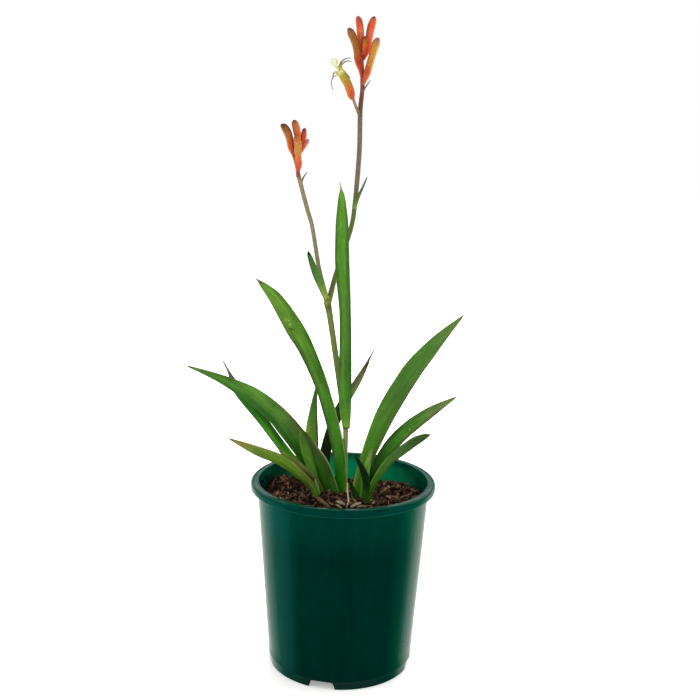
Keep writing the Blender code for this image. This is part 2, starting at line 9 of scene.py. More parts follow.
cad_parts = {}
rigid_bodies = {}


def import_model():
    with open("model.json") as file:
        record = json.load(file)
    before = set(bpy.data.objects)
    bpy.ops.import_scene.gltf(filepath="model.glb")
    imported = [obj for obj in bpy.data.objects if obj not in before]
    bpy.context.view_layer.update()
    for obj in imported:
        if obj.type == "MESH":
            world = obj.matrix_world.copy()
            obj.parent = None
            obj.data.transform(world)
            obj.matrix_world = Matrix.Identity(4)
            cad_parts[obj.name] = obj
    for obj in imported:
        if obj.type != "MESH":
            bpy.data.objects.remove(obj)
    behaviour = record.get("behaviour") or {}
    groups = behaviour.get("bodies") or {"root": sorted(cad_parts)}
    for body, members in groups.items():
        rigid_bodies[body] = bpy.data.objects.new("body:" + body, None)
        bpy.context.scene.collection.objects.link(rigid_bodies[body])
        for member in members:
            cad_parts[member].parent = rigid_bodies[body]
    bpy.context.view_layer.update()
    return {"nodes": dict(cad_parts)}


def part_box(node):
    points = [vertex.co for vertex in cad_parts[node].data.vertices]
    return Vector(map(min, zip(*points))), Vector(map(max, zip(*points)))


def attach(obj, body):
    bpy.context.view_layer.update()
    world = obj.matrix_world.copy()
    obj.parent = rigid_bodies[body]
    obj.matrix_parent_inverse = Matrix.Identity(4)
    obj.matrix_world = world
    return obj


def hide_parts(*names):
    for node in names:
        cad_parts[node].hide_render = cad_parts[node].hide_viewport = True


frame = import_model()
print("frame loaded:", len(frame["nodes"]), "nodes")

# Every size below is in millimetres, measured from the pot's axis at the level it stands on.
mm = 0.001
potLow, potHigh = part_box("pot")
potAxis = (potLow + potHigh) / 2
toFrame = Matrix.Translation((potAxis.x, potAxis.y, 0)) @ Matrix.Scale(mm, 4)


def toLinear(hexColour):
    channels = [int(hexColour[i:i + 2], 16) / 255 for i in (1, 3, 5)]
    return tuple(c / 12.92 if c <= 0.04045 else ((c + 0.055) / 1.055) ** 2.4 for c in channels) + (1.0,)


def addNode(tree, kind, settings=None, links=None):
    # settings holds sockets and properties by name, or a socket by its number, and a ramp's stops of
    # (place, colour), with a strength after the colour where the ramp's alpha is used
    node = tree.nodes.new("ShaderNode" + kind)
    for key, value in (settings or {}).items():
        if key == "stops":
            ramp = node.color_ramp
            ramp.elements[0].position, ramp.elements[1].position = value[0][0], value[-1][0]
            for stop in value[1:-1]:
                ramp.elements.new(stop[0])
            for element, (place, colour, *strength) in zip(ramp.elements, value):
                element.color = toLinear(colour)[:3] + (strength[0] if strength else 1.0,)
        elif isinstance(key, int) or key in node.inputs:
            node.inputs[key].default_value = value
        else:
            setattr(node, key, value)
    for key, socket in (links or {}).items():
        tree.links.new(socket, node.inputs[key])
    return node


def startMaterial(name, settings):
    material = bpy.data.materials.new(name)
    material.use_nodes = True
    tree = material.node_tree
    shader = tree.nodes["Principled BSDF"]
    for key, value in settings.items():
        shader.inputs[key].default_value = value
    return material, tree, shader


def newBody():
    return {"points": [], "faces": [], "values": {}}


def addToBody(body, points, faces, **values):
    start = len(body["points"])
    body["points"].extend(tuple(point) for point in points)
    body["faces"].extend(tuple(start + i for i in face) for face in faces)
    for name, rows in values.items():
        body["values"].setdefault(name, []).extend(rows)


def buildPiece(name, body, material, node, smooth=True):
    mesh = bpy.data.meshes.new(name)
    mesh.from_pydata(body["points"], [], body["faces"])
    mesh.transform(toFrame)
    for key, rows in body["values"].items():
        flat = np.array(rows, np.float32)
        width = 1 if flat.ndim == 1 else flat.shape[1]
        kind, field = {1: ("FLOAT", "value"), 3: ("FLOAT_VECTOR", "vector"), 4: ("FLOAT_COLOR", "color")}[width]
        mesh.attributes.new(key, kind, "POINT").data.foreach_set(field, flat.ravel())
    mesh.validate()
    if smooth:
        mesh.shade_smooth()
    mesh.materials.append(material)
    piece = bpy.data.objects.new(name, mesh)
    bpy.context.scene.collection.objects.link(piece)
    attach(piece, "root")
    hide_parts(node)
    return piece


def gridFaces(rows, columns, wrap=False):
    faces = []
    for i in range(rows - 1):
        for j in range(columns if wrap else columns - 1):
            k = (j + 1) % columns
            faces.append((i * columns + j, i * columns + k, (i + 1) * columns + k, (i + 1) * columns + j))
    return faces


def smoothRoute(waypoints, count):
    # evenly spaced points on a Catmull-Rom curve, which carries the numbers after x, y, z along
    points = np.array(waypoints, float)
    ends = np.vstack([2 * points[0] - points[1], points, 2 * points[-1] - points[-2]])
    fine = []
    for a, b, c, d in zip(ends, ends[1:], ends[2:], ends[3:]):
        for t in np.linspace(0, 1, 24, endpoint=False):
            bend = (2 * a - 5 * b + 4 * c - d) * t**2 + (3 * b - a - 3 * c + d) * t**3
            fine.append(b + 0.5 * ((c - a) * t + bend))
    fine = np.array(fine + [points[-1]])
    along = np.concatenate([[0], np.cumsum(np.linalg.norm(np.diff(fine[:, :3], axis=0), axis=1))])
    at = np.linspace(0, along[-1], count)
    return np.stack([np.interp(at, along, column) for column in fine.T], axis=1)


def routeTangents(route):
    steps = np.gradient(route[:, :3], axis=0)
    return steps / np.linalg.norm(steps, axis=1, keepdims=True)


def routeLength(waypoints):
    points = np.array(waypoints, float)[:, :3]
    return float(np.linalg.norm(np.diff(points, axis=0), axis=1).sum())


def blendHex(stops, place):
    # linear colour at a place between stops of (place, hex colour)
    places = [stop[0] for stop in stops]
    colours = np.array([toLinear(stop[1]) for stop in stops])
    return np.array([np.interp(place, places, colours[:, i]) for i in range(4)])


def tubeRings(route, sides, section=None):
    # rings of points round a route of (x, y, z, radius): the first point of each lies on its left
    tangents = routeTangents(route)
    side = np.cross(tangents[0], (0.0, 1.0, 0.0))
    rings = []
    for k, (row, tangent) in enumerate(zip(route, tangents)):
        side = side - tangent * (side @ tangent)
        side = side / np.linalg.norm(side)
        up = np.cross(tangent, side)
        share = k / (len(route) - 1)
        ring = []
        for j in range(sides):
            angle = 2 * math.pi * j / sides
            reach = row[3] * (section(angle, share) if section else 1.0)
            ring.append(row[:3] + reach * (math.cos(angle) * side + math.sin(angle) * up))
        rings.append(ring)
    return np.array(rings)


def paintTube(stops, count, sides, left=None, right=None, reach=0.8):
    # colours along a tube, with others coming in round its left and right sides, which lie on its outline as seen from
    # the front: painted shade where they are darker and painted highlights where they are paler, with some of the
    # tube's own colour in them
    along = np.array([blendHex(stops, share) for share in np.linspace(0, 1, count)])
    made = np.repeat(along[:, None], sides, axis=1)
    for j in range(sides):
        lean = math.cos(2 * math.pi * j / sides)
        colour = left if lean > 0 else right
        if colour:
            amount = reach * max(0.0, (abs(lean) - 0.4) / 0.6)
            made[:, j] += (np.array(toLinear(colour)) - made[:, j]) * amount
    return made


def addTube(body, rings, tints):
    count, sides = rings.shape[:2]
    faces = gridFaces(count, sides, wrap=True)
    faces += [tuple(range(sides))[::-1], tuple(range((count - 1) * sides, count * sides))]
    addToBody(body, rings.reshape(-1, 3), faces, tint=list(tints.reshape(-1, 4)))


# Camera, where the photograph was taken from

cameraSettings = {"stand": (2.86, -780.0, 410.6), "lookDown": 11.967, "roll": 1.285, "lens": 55.36}


def setCamera():
    data = bpy.data.cameras.new("camera")
    data.lens = cameraSettings["lens"]
    data.sensor_width = 36.0
    data.clip_start = 0.01
    camera = bpy.data.objects.new("camera", data)
    bpy.context.scene.collection.objects.link(camera)
    tilt = Matrix.Rotation(math.radians(90 - cameraSettings["lookDown"]), 4, "X")
    roll = Matrix.Rotation(math.radians(cameraSettings["roll"]), 4, "Z")
    place = Matrix.Translation(toFrame @ Vector(cameraSettings["stand"]))
    camera.matrix_world = place @ tilt @ roll
    bpy.context.scene.camera = camera


setCamera()
print("camera set")

# Studio: pale floor, soft boxes, and a room that is dark in front and white at the sides and behind

studio = {
    "background": 1.0,
    "floor": ("#f6f6f4", "#f9f9f7"),
    "floorGlow": 0.3,
    "ambient": 0.62,
    # the sun stands for a large soft box overhead: it lights the floor evenly
    "sun": {"direction": (0.1, 0.1, 1.0), "strength": 1.1, "spread": 60.0},
    "lamps": [
        # name, place in metres, size in metres, watts
        ("leftBox", (-1.25, -0.5, 0.75), (0.8, 1.1), 6.0),
        ("rightBox", (1.25, -0.2, 0.8), (0.8, 1.1), 5.0),
        ("backBox", (0.15, 1.5, 0.75), (1.8, 1.0), 30.0),
    ],
    # what gloss sees round the horizon, by degrees from straight ahead of the camera's own side:
    # black boards in front, then green-tinged walls, then the white sheet behind
    "leftRoom": [(0, (0, 0, 0)), (67, (0, 0, 0)), (76, (0.02, 0.18, 0.13)), (82, (0.05, 0.44, 0.36)),
                 (110, (0.1, 0.53, 0.42)), (122, (0.35, 0.8, 0.65)), (136, (0.6, 0.9, 0.75)),
                 (150, (0.85, 1.0, 0.9)), (180, (0.9, 1.0, 0.95))],
    "rightRoom": [(0, (0, 0, 0)), (80, (0, 0, 0)), (90, (0.0, 0.14, 0.08)), (105, (0.02, 0.3, 0.1)),
                  (116, (0.2, 0.68, 0.43)), (128, (0.68, 1.0, 0.82)), (145, (0.85, 0.98, 0.85)),
                  (180, (0.85, 0.95, 0.9))],
    # how much of the room shows by the height looked at, from straight down (0) to straight up (1):
    # the boards end low down, a gap follows, then a lit strip of ceiling
    "roomHeights": [(0.0, "#b0b0b0"), (0.16, "#b0b0b0"), (0.24, "#ffffff"), (0.56, "#ffffff"), (0.585, "#303030"),
                    (0.63, "#303030"), (0.68, "#f0f0f0"), (0.88, "#e0e0e0"), (0.95, "#000000")],
    "lowLight": [(0.0, "#7a9488"), (0.1, "#7a9488"), (0.17, "#000000")],
}


def buildStudio():
    scene = bpy.context.scene
    scene.view_settings.view_transform = "Standard"
    world = bpy.data.worlds.new("studioRoom")
    world.use_nodes = True
    tree = world.node_tree
    tree.nodes.clear()
    direction = addNode(tree, "TexCoord").outputs["Generated"]
    split = addNode(tree, "SeparateXYZ", links={0: direction})
    back = addNode(tree, "Math", {"operation": "MULTIPLY", 1: -1.0}, {0: split.outputs["Y"]})
    width = addNode(tree, "Math", {"operation": "ABSOLUTE"}, {0: split.outputs["X"]})
    turn = addNode(tree, "Math", {"operation": "ARCTAN2"}, {0: width.outputs[0], 1: back.outputs[0]})
    share = addNode(tree, "Math", {"operation": "DIVIDE", 1: math.pi}, {0: turn.outputs[0]})
    rooms = []
    for key in ("leftRoom", "rightRoom"):
        ramp = addNode(tree, "ValToRGB", links={0: share.outputs[0]})
        elements = ramp.color_ramp.elements
        for _ in studio[key][2:]:
            elements.new(1.0)
        for element, (degrees, light) in zip(elements, studio[key]):
            element.position = degrees / 180
            element.color = (*light, 1.0)
        rooms.append(ramp.outputs["Color"])
    onRight = addNode(tree, "Math", {"operation": "GREATER_THAN", 1: 0.0}, {0: split.outputs["X"]})
    room = addNode(tree, "Mix", {"data_type": "RGBA"}, {0: onRight.outputs[0], 6: rooms[0], 7: rooms[1]})
    height = addNode(tree, "MapRange", {"From Min": -1.0}, {"Value": split.outputs["Z"]})
    shares = addNode(tree, "ValToRGB", {"stops": studio["roomHeights"]}, {0: height.outputs[0]})
    low = addNode(tree, "ValToRGB", {"stops": studio["lowLight"]}, {0: height.outputs[0]})
    gloss = addNode(tree, "VectorMath", {"operation": "MULTIPLY_ADD"},
                    {0: room.outputs[2], 1: shares.outputs["Color"], 2: low.outputs["Color"]})
    rays = addNode(tree, "LightPath")
    ambient = (studio["ambient"],) * 3 + (1.0,)
    plain = addNode(tree, "Mix", {"data_type": "RGBA", 6: ambient},
                    {0: rays.outputs["Is Glossy Ray"], 7: gloss.outputs[0]})
    white = (studio["background"],) * 3 + (1.0,)
    seen = addNode(tree, "Mix", {"data_type": "RGBA", 7: white},
                   {0: rays.outputs["Is Camera Ray"], 6: plain.outputs[2]})
    light = addNode(tree, "Background", links={"Color": seen.outputs[2]})
    addNode(tree, "OutputWorld", links={"Surface": light.outputs[0]})
    scene.world = world
    sunData = bpy.data.lights.new("overheadSun", "SUN")
    sunData.energy = studio["sun"]["strength"]
    sunData.angle = math.radians(studio["sun"]["spread"])
    sun = bpy.data.objects.new("overheadSun", sunData)
    scene.collection.objects.link(sun)
    sun.rotation_euler = Vector(studio["sun"]["direction"]).to_track_quat("Z", "Y").to_euler()
    sun.visible_glossy = False
    for name, place, size, watts in studio["lamps"]:
        data = bpy.data.lights.new(name, "AREA")
        data.shape = "RECTANGLE"
        data.size, data.size_y = size
        data.energy = watts
        lamp = bpy.data.objects.new(name, data)
        scene.collection.objects.link(lamp)
        lamp.location = place
        lamp.visible_glossy = False
        aim = Vector((potAxis.x, potAxis.y, 0.2)) - lamp.location
        lamp.rotation_euler = aim.to_track_quat("-Z", "Y").to_euler()
    # a white acrylic sheet lit from below: plain, without a shadow's hard edge
    floorMaterial, tree, shader = startMaterial("litAcrylicSheet", {
        "Roughness": 0.9, "Specular IOR Level": 0.1, "Emission Color": (1.0, 1.0, 1.0, 1.0),
        "Emission Strength": studio["floorGlow"],
    })
    place = addNode(tree, "TexCoord").outputs["Object"]
    cloud = addNode(tree, "TexNoise", {"Scale": 3.0, "Detail": 2.0}, {"Vector": place})
    tone = addNode(tree, "ValToRGB", {"stops": [(0.3, studio["floor"][0]), (0.7, studio["floor"][1])]},
                   {0: cloud.outputs[0]})
    tree.links.new(tone.outputs["Color"], shader.inputs["Base Color"])
    mesh = bpy.data.meshes.new("floor")
    far = 6.0
    mesh.from_pydata([(-far, -far, 0), (far, -far, 0), (far, far, 0), (-far, far, 0)], [], [(0, 1, 2, 3)])
    mesh.materials.append(floorMaterial)
    floor = bpy.data.objects.new("floor", mesh)
    scene.collection.objects.link(floor)
    floor.visible_glossy = False


buildStudio()
print("studio built")

# Pot: injection-moulded polypropylene with a rolled rim

potSettings = {
    "wallTop": 64.9,
    "foot": 54.8,
    "wall": 1.8,
    "rimDepth": 5.8,
    "rimInner": 64.2,
    "lip": 1.7,
    "footWidth": 3.2,
    "floorUnderside": 6.8,
    "floorTop": 9.0,
    "notches": (-103.5, -13.5, 76.5, 166.5),
    "notchWidth": 22.0,
    "notchTopWidth": 17.0,
    "notchHeight": 6.0,
    "drainRadius": 6.0,
    "drainCircle": 38.0,
    "steps": 224,
    # colour with painted light and shade, by how freely light passes: darkest where the mix backs the wall, then the
    # free wall, rim and inner wall, which is painted brightest with the light that comes through it
    "colours": [(0.0, "#002a22"), (0.35, "#003a2f"), (0.45, "#003c32"), (0.62, "#00503a"), (1.0, "#00b284")],
}
rimRadius = (potHigh.x - potLow.x) / 2 / mm
potHeight = potHigh.z / mm


def wallRadius(z):
    top = potHeight - potSettings["rimDepth"]
    return potSettings["foot"] + (potSettings["wallTop"] - potSettings["foot"]) * min(z, top) / top


def roundedProfile(corners, steps=5):
    # corners of (radius, height, fillet): each fillet becomes an arc
    made = []
    for i, (r, z, fillet) in enumerate(corners):
        if fillet == 0:
            made.append((r, z))
            continue
        here = Vector((r, z))
        before = (Vector(corners[i - 1][:2]) - here).normalized()
        after = (Vector(corners[i + 1][:2]) - here).normalized()
        half = before.angle(after) / 2
        reach = min(fillet / math.tan(half), 0.48 * (Vector(corners[i - 1][:2]) - here).length,
                    0.48 * (Vector(corners[i + 1][:2]) - here).length)
        radius = reach * math.tan(half)
        centre = here + (before + after).normalized() * (radius / math.sin(half))
        start, end = here + before * reach - centre, here + after * reach - centre
        for share in np.linspace(0, 1, steps + 1):
            turned = start.slerp(end, share) if start.angle(end) > 0.001 else start
            made.append(tuple(centre + turned.normalized() * radius))
    return made


def potProfile():
    lipBottom = potHeight - potSettings["rimDepth"]
    lipInner = rimRadius - potSettings["lip"]
    wall, floorTop = potSettings["wall"], potSettings["floorTop"]
    footInner = potSettings["foot"] - potSettings["footWidth"]
    corners = [
        (0.0, floorTop, 0),
        (wallRadius(floorTop) - wall, floorTop, 2.4),
        (wallRadius(lipBottom) - wall, lipBottom, 5.0),
        (potSettings["rimInner"] - 0.2, potHeight, 0.9),
        (rimRadius, potHeight, 2.7),
        (rimRadius, lipBottom, 0.9),
        (lipInner, lipBottom, 0.4),
        (lipInner - 0.2, potHeight - 2.0, 0.7),
        (wallRadius(potHeight) + 0.6, potHeight - 2.0, 0.9),
        (wallRadius(lipBottom), lipBottom - 0.4, 3.0),
        (wallRadius(7.6), 7.6, 0),
        (wallRadius(7.2) + 0.1, 7.2, 0.2),
        (wallRadius(6.6) + 0.1, 6.6, 0.2),
        (wallRadius(6.2), 6.2, 0),
        (wallRadius(0.0), 0.0, 0.8),
        (footInner, 0.0, 0.5),
        (footInner - 0.2, potSettings["floorUnderside"], 1.0),
        (0.0, potSettings["floorUnderside"], 0),
    ]
    made = roundedProfile(corners)
    # long straight stretches get points of their own, so that the wall can carry its slight unevenness
    profile = [made[0]]
    for (r0, z0), (r1, z1) in zip(made, made[1:]):
        parts = max(1, int(math.hypot(r1 - r0, z1 - z0) / 7))
        profile += [(r0 + (r1 - r0) * i / parts, z0 + (z1 - z0) * i / parts) for i in range(1, parts + 1)]
    return profile


def potCutter(name, outline, depth, place, turn, tip=0.0):
    # a flat outline in the cutter's own y, z, pushed through by depth either way along its x
    count = len(outline)
    points = [(side * depth, y, z) for side in (-1, 1) for y, z in outline]
    faces = [tuple(range(count))[::-1], tuple(range(count, 2 * count))]
    faces += [(i, (i + 1) % count, count + (i + 1) % count, count + i) for i in range(count)]
    mesh = bpy.data.meshes.new(name)
    mesh.from_pydata(points, [], faces)
    where = Matrix.Rotation(math.radians(turn), 4, "Z") @ Matrix.Translation(place)
    mesh.transform(toFrame @ where @ Matrix.Rotation(math.radians(tip), 4, "Y"))
    cutter = bpy.data.objects.new(name, mesh)
    return cutter


def notchOutline():
    # an arch: sloping sides, rounded shoulders and a slightly bowed top
    low, high = potSettings["notchWidth"] / 2, potSettings["notchTopWidth"] / 2
    top = potSettings["notchHeight"]
    right = [(low, -3.0), (high + 0.6, top - 2.2)]
    right += [(high - 1.6 + 2.0 * math.cos(a), top - 2.0 + 1.7 * math.sin(a))
              for a in np.linspace(0.1, math.pi / 2, 6)]
    right += [(high * 0.5, top - 0.1), (0.0, top)]
    return right + [(-y, z) for y, z in right[-2::-1]]


def drainOutline():
    radius = potSettings["drainRadius"]
    return [(radius * math.cos(a), radius * math.sin(a))
            for a in np.linspace(0, 2 * math.pi, 40, endpoint=False)]


def mouldedPolypropylene():
    # injection-moulded polypropylene, dark green: a smooth waxy gloss that mirrors the soft boxes
    # as clean vertical bands, and a thin wall that shines green where light comes through it;
    # that light, and the shade where the mix backs the wall, are also painted into its colour
    material, tree, shader = startMaterial("mouldedPolypropylene", {
        "Roughness": 0.1, "IOR": 1.49, "Metallic": 0.0,
        "Subsurface Weight": 1.0, "Subsurface Radius": (0.1, 1.0, 0.5), "Subsurface Scale": 0.003,
    })
    place = addNode(tree, "TexCoord").outputs["Object"]
    # the base colour is painted: lighter with light that comes through the free wall, darker where the mix backs it
    glow = addNode(tree, "Attribute", {"attribute_name": "glow"})
    tone = addNode(tree, "ValToRGB", {"stops": potSettings["colours"]}, {0: glow.outputs["Fac"]})
    # melt flow runs up the wall from the gate under the floor: streaks about 9 mm apart and 120 mm tall
    flow = addNode(tree, "Mapping", {"Scale": (1 / 0.009, 1 / 0.009, 1 / 0.12)}, {"Vector": place})
    streaks = addNode(tree, "TexNoise", {"Scale": 1.0, "Detail": 3.0, "Roughness": 0.6},
                      {"Vector": flow.outputs[0]})
    shade = addNode(tree, "MapRange", {"From Min": 0.3, "From Max": 0.7, "To Min": 0.88, "To Max": 1.12},
                    {"Value": streaks.outputs[0]})
    colour = addNode(tree, "VectorMath", {"operation": "SCALE"}, {0: tone.outputs[0], 3: shade.outputs[0]})
    tree.links.new(colour.outputs[0], shader.inputs["Base Color"])
    # handling dulls the gloss in patches about 14 mm across, with scuffs near 0.7 mm
    scuffs = addNode(tree, "TexNoise", {"Scale": 1 / 0.014, "Detail": 6.0, "Roughness": 0.7}, {"Vector": place})
    rough = addNode(tree, "MapRange", {"From Min": 0.3, "From Max": 0.75, "To Min": 0.05, "To Max": 0.14},
                    {"Value": scuffs.outputs[0]})
    tree.links.new(rough.outputs[0], shader.inputs["Roughness"])
    # the mould's polish leaves a faint 2.5 mm ripple
    ripple = addNode(tree, "TexNoise", {"Scale": 1 / 0.0025, "Detail": 1.0}, {"Vector": place})
    bump = addNode(tree, "Bump", {"Strength": 0.03, "Distance": 0.0002}, {"Height": ripple.outputs[0]})
    tree.links.new(bump.outputs[0], shader.inputs["Normal"])
    return material


def smoothStep(low, high, value):
    share = min(1.0, max(0.0, (value - low) / (high - low)))
    return share * share * (3 - 2 * share)


# how much painted light goes into the pot's colour at a point: more is brighter
def paintedGlowAt(x, y, z):
    r = math.hypot(x, y)
    rimBottom = potHeight - potSettings["rimDepth"]
    if z > rimBottom - 0.2 and r > wallRadius(rimBottom) - 0.3:
        return 0.45
    if r < wallRadius(z) - potSettings["wall"] / 2:
        # painted light and shade: the free wall at the back is painted brighter with the light behind it that comes
        # through, the sides and the thick rim less so, and darker low down near the mix
        start = 0.42 if x < 0 else 0.05
        back = min(1.0, max(0.0, (y / max(r, 1.0) - start) / (0.98 - start)))
        thick = 1 - 0.45 * smoothStep(potHeight - 8, potHeight - 2, z)
        return 0.2 + (0.22 + 0.58 * back) * smoothStep(112.0, 126.0, z) * thick
    # the outer wall is painted lighter above the mix, where no mix backs it
    return 0.35 * smoothStep(100.0, 134.0, z)


def buildPot():
    profile = potProfile()
    steps = potSettings["steps"]
    body = newBody()
    rows = []
    for r, z in profile:
        ring = []
        for j in range(steps):
            angle = 2 * math.pi * j / steps
            uneven = 0.10 * noise.noise(Vector((1.3 * math.cos(angle), 1.3 * math.sin(angle), z / 60)))
            reach = max(r + uneven * min(1.0, max(0.0, r - 40) / 10) * min(1.0, z / 12), 0.0)
            reach = min(reach, rimRadius)
            ring.append((reach * math.cos(angle), reach * math.sin(angle), z))
        rows.append(ring)
    # the first and last rings lie on the axis, so each becomes one point
    points = [rows[0][0]] + [point for ring in rows[1:-1] for point in ring] + [rows[-1][0]]
    last = len(points) - 1
    faces = [(0, 1 + j, 1 + (j + 1) % steps) for j in range(steps)]
    faces += [tuple(1 + i for i in face) for face in gridFaces(len(rows) - 2, steps, wrap=True)]
    top = 1 + (len(rows) - 3) * steps
    faces += [(top + j, last, top + (j + 1) % steps) for j in range(steps)]
    addToBody(body, points, faces)
    piece = buildPiece("nurseryPot", body, mouldedPolypropylene(), "pot")
    cutters = bpy.data.collections.new("potCutters")
    middle = (potSettings["foot"], 0, 0)
    for i, turn in enumerate(potSettings["notches"]):
        cutters.objects.link(potCutter(f"notchCutter{i}", notchOutline(), 8.0, middle, turn))
        drain = (potSettings["drainCircle"], 0, potSettings["floorTop"])
        cutters.objects.link(potCutter(f"drainCutter{i}", drainOutline(), 7.0, drain, turn, 90.0))
    centre = (0, 0, potSettings["floorTop"])
    cutters.objects.link(potCutter("drainCutterMiddle", drainOutline(), 7.0, centre, 0.0, 90.0))
    cut = piece.modifiers.new("cut", "BOOLEAN")
    cut.operand_type = "COLLECTION"
    cut.collection = cutters
    cut.operation = "DIFFERENCE"
    bpy.context.view_layer.update()
    mesh = bpy.data.meshes.new_from_object(piece.evaluated_get(bpy.context.evaluated_depsgraph_get()))
    piece.modifiers.clear()
    piece.data = mesh
    mesh.shade_smooth()
    mesh.set_sharp_from_angle(angle=math.radians(32))
    toPot = toFrame.inverted()
    # painted light and shade for the pot's colour at every point
    paintedGlows = [paintedGlowAt(*(toPot @ point.co)) for point in mesh.vertices]
    mesh.attributes.new("glow", "FLOAT", "POINT").data.foreach_set("value", paintedGlows)
    for cutter in list(cutters.objects):
        bpy.data.objects.remove(cutter)
    bpy.data.collections.remove(cutters)


buildPot()
print("pot built")

# Potting mix: composted pine bark, with loose chips, fibres and bits of straw on top

mixSettings = {
    "level": 127.5,
    "chunk": 5.5,
    "chunkHeight": 2.2,
    "chunkSeed": 53,
    # mounds: x, y, height, spread
    "mounds": ((2.0, -6.0, 6.0, 24.0), (-52.0, 28.0, 8.0, 15.0), (-52.0, -10.0, 4.0, 16.0),
               (48.0, 20.0, 4.0, 20.0), (-16.5, -12.0, 5.5, 8.0), (13.0, -21.0, 4.0, 8.0),
               (8.0, 50.0, -4.0, 26.0)),
    "rings": 70,
    "steps": 200,
    "chips": 5200,
    "chipLength": (1.6, 8.5),
    "fibres": 420,
    "fibreLength": (4.0, 15.0),
    # the darkest bark colours also stand in as painted shade in the gaps between chips
    "barkColours": ("#180e09", "#26160e", "#352016", "#4a2e20", "#64432f", "#84614a"),
    "paleColours": ("#7d634a", "#9a8064", "#b8a182"),
    "paleShare": 0.02,
    "fibreColours": ("#332218", "#543b2a", "#7d6048", "#a3886a"),
    # larger pieces seen on top, as routes of x, y and radius, with their colour
    "pieces": [
        ([(-27.0, 4.0, 0.7), (-22.0, -8.0, 1.2), (-15.5, -19.5, 1.3), (-9.5, -24.0, 0.6)], "#9a7f62"),
        ([(-33.0, 9.0, 0.4), (-28.0, -4.0, 0.6), (-21.0, -15.5, 0.5)], "#7d6249"),
        ([(-44.0, -7.0, 0.3), (-38.0, -6.0, 0.4), (-32.5, -8.5, 0.3)], "#b59a78"),
        ([(-5.0, -17.0, 0.8), (-2.0, -20.5, 1.4), (1.6, -23.0, 0.8)], "#d2c1a6"),
        ([(-5.6, -22.0, 0.5), (-3.0, -24.5, 0.9), (-0.4, -26.0, 0.5)], "#b5a084"),
        ([(6.0, -27.0, 0.7), (9.5, -25.5, 1.5), (13.5, -24.0, 0.8)], "#c4b094"),
        ([(11.0, -29.0, 0.5), (14.0, -27.0, 1.0), (17.5, -26.5, 0.5)], "#a08a6c"),
        ([(-10.5, -19.0, 0.4), (-8.0, -21.5, 0.8), (-5.5, -23.5, 0.4)], "#8d7458"),
        ([(4.0, -31.0, 0.4), (7.5, -31.5, 0.9), (11.0, -32.0, 0.4)], "#8a7256"),
        ([(33.0, 3.0, 0.6), (41.0, 2.0, 0.8), (49.0, 5.0, 0.7), (57.0, 13.0, 0.5)], "#a38567"),
        ([(36.0, -3.0, 0.3), (44.0, -2.0, 0.5), (50.0, 1.0, 0.3)], "#7f6448"),
    ],
    # a thin root hangs from the crown: x, y, z, radius
    "strand": [(3.4, -12.0, 146.0, 0.4), (3.3, -15.0, 141.5, 0.6), (4.0, -18.0, 137.0, 0.6),
               (4.3, -20.5, 134.5, 0.6), (3.2, -24.0, 132.0, 0.5), (2.6, -28.0, 129.5, 0.35)],
    "seed": 7,
}
edgeGap = 0.6
noise.seed_set(mixSettings["chunkSeed"])  # noise_vector differs from run to run without a seed


def mixHeight(x, y):
    height = mixSettings["level"]
    for moundX, moundY, rise, spread in mixSettings["mounds"]:
        height += rise * math.exp(-((x - moundX) ** 2 + (y - moundY) ** 2) / spread**2)
    place = Vector((x / mixSettings["chunk"], y / mixSettings["chunk"], 0.5))
    nearest = noise.voronoi(place)[1][0]
    lean = noise.noise_vector(nearest * 7.3)
    tilt = lean.x * (place.x - nearest.x) + lean.y * (place.y - nearest.y)
    return height + mixSettings["chunkHeight"] * (lean.z + 1.2 * tilt)


def compostedBark():
    # composted bark, damp and crumbly: near-black between the pieces, which is partly painted shade, red-brown on their
    # faces
    material, tree, shader = startMaterial("compostedBark", {"Roughness": 0.95, "Specular IOR Level": 0.25})
    place = addNode(tree, "TexCoord").outputs["Object"]
    crumbs = addNode(tree, "TexVoronoi", {"Scale": 1 / 0.0022}, {"Vector": place})  # crumbs of about 2.2 mm
    fine = addNode(tree, "TexNoise", {"Scale": 1 / 0.003, "Detail": 6.0, "Roughness": 0.7}, {"Vector": place})
    tone = addNode(tree, "ValToRGB", {"stops": [(0.3, "#0d0704"), (0.55, "#24150d"), (0.8, "#3f2819")]},
                   {0: fine.outputs[0]})
    tree.links.new(tone.outputs["Color"], shader.inputs["Base Color"])
    bump = addNode(tree, "Bump", {"Strength": 0.8, "Distance": 0.0008}, {"Height": crumbs.outputs["Distance"]})
    tree.links.new(bump.outputs[0], shader.inputs["Normal"])
    return material


def splitBark():
    # pine bark split into chips: matte, red-brown, with darker layers along each chip
    material, tree, shader = startMaterial("splitBark", {"Roughness": 0.85, "Specular IOR Level": 0.3})
    tint = addNode(tree, "Attribute", {"attribute_name": "tint"})
    grain = addNode(tree, "Attribute", {"attribute_name": "grain"})
    layers = addNode(tree, "Mapping", {"Scale": (1 / 5.0, 1 / 0.4, 1 / 0.4)}, {"Vector": grain.outputs["Vector"]})
    streaks = addNode(tree, "TexNoise", {"Scale": 1.0, "Detail": 4.0, "Roughness": 0.7},
                      {"Vector": layers.outputs[0]})  # layers 0.4 mm thick, 5 mm long
    shade = addNode(tree, "MapRange", {"From Min": 0.3, "From Max": 0.7, "To Min": 0.35, "To Max": 1.5},
                    {"Value": streaks.outputs[0]})
    colour = addNode(tree, "VectorMath", {"operation": "SCALE"}, {0: tint.outputs["Color"], 3: shade.outputs[0]})
    tree.links.new(colour.outputs[0], shader.inputs["Base Color"])
    bump = addNode(tree, "Bump", {"Strength": 0.6, "Distance": 0.0003}, {"Height": streaks.outputs[0]})
    tree.links.new(bump.outputs[0], shader.inputs["Normal"])
    return material


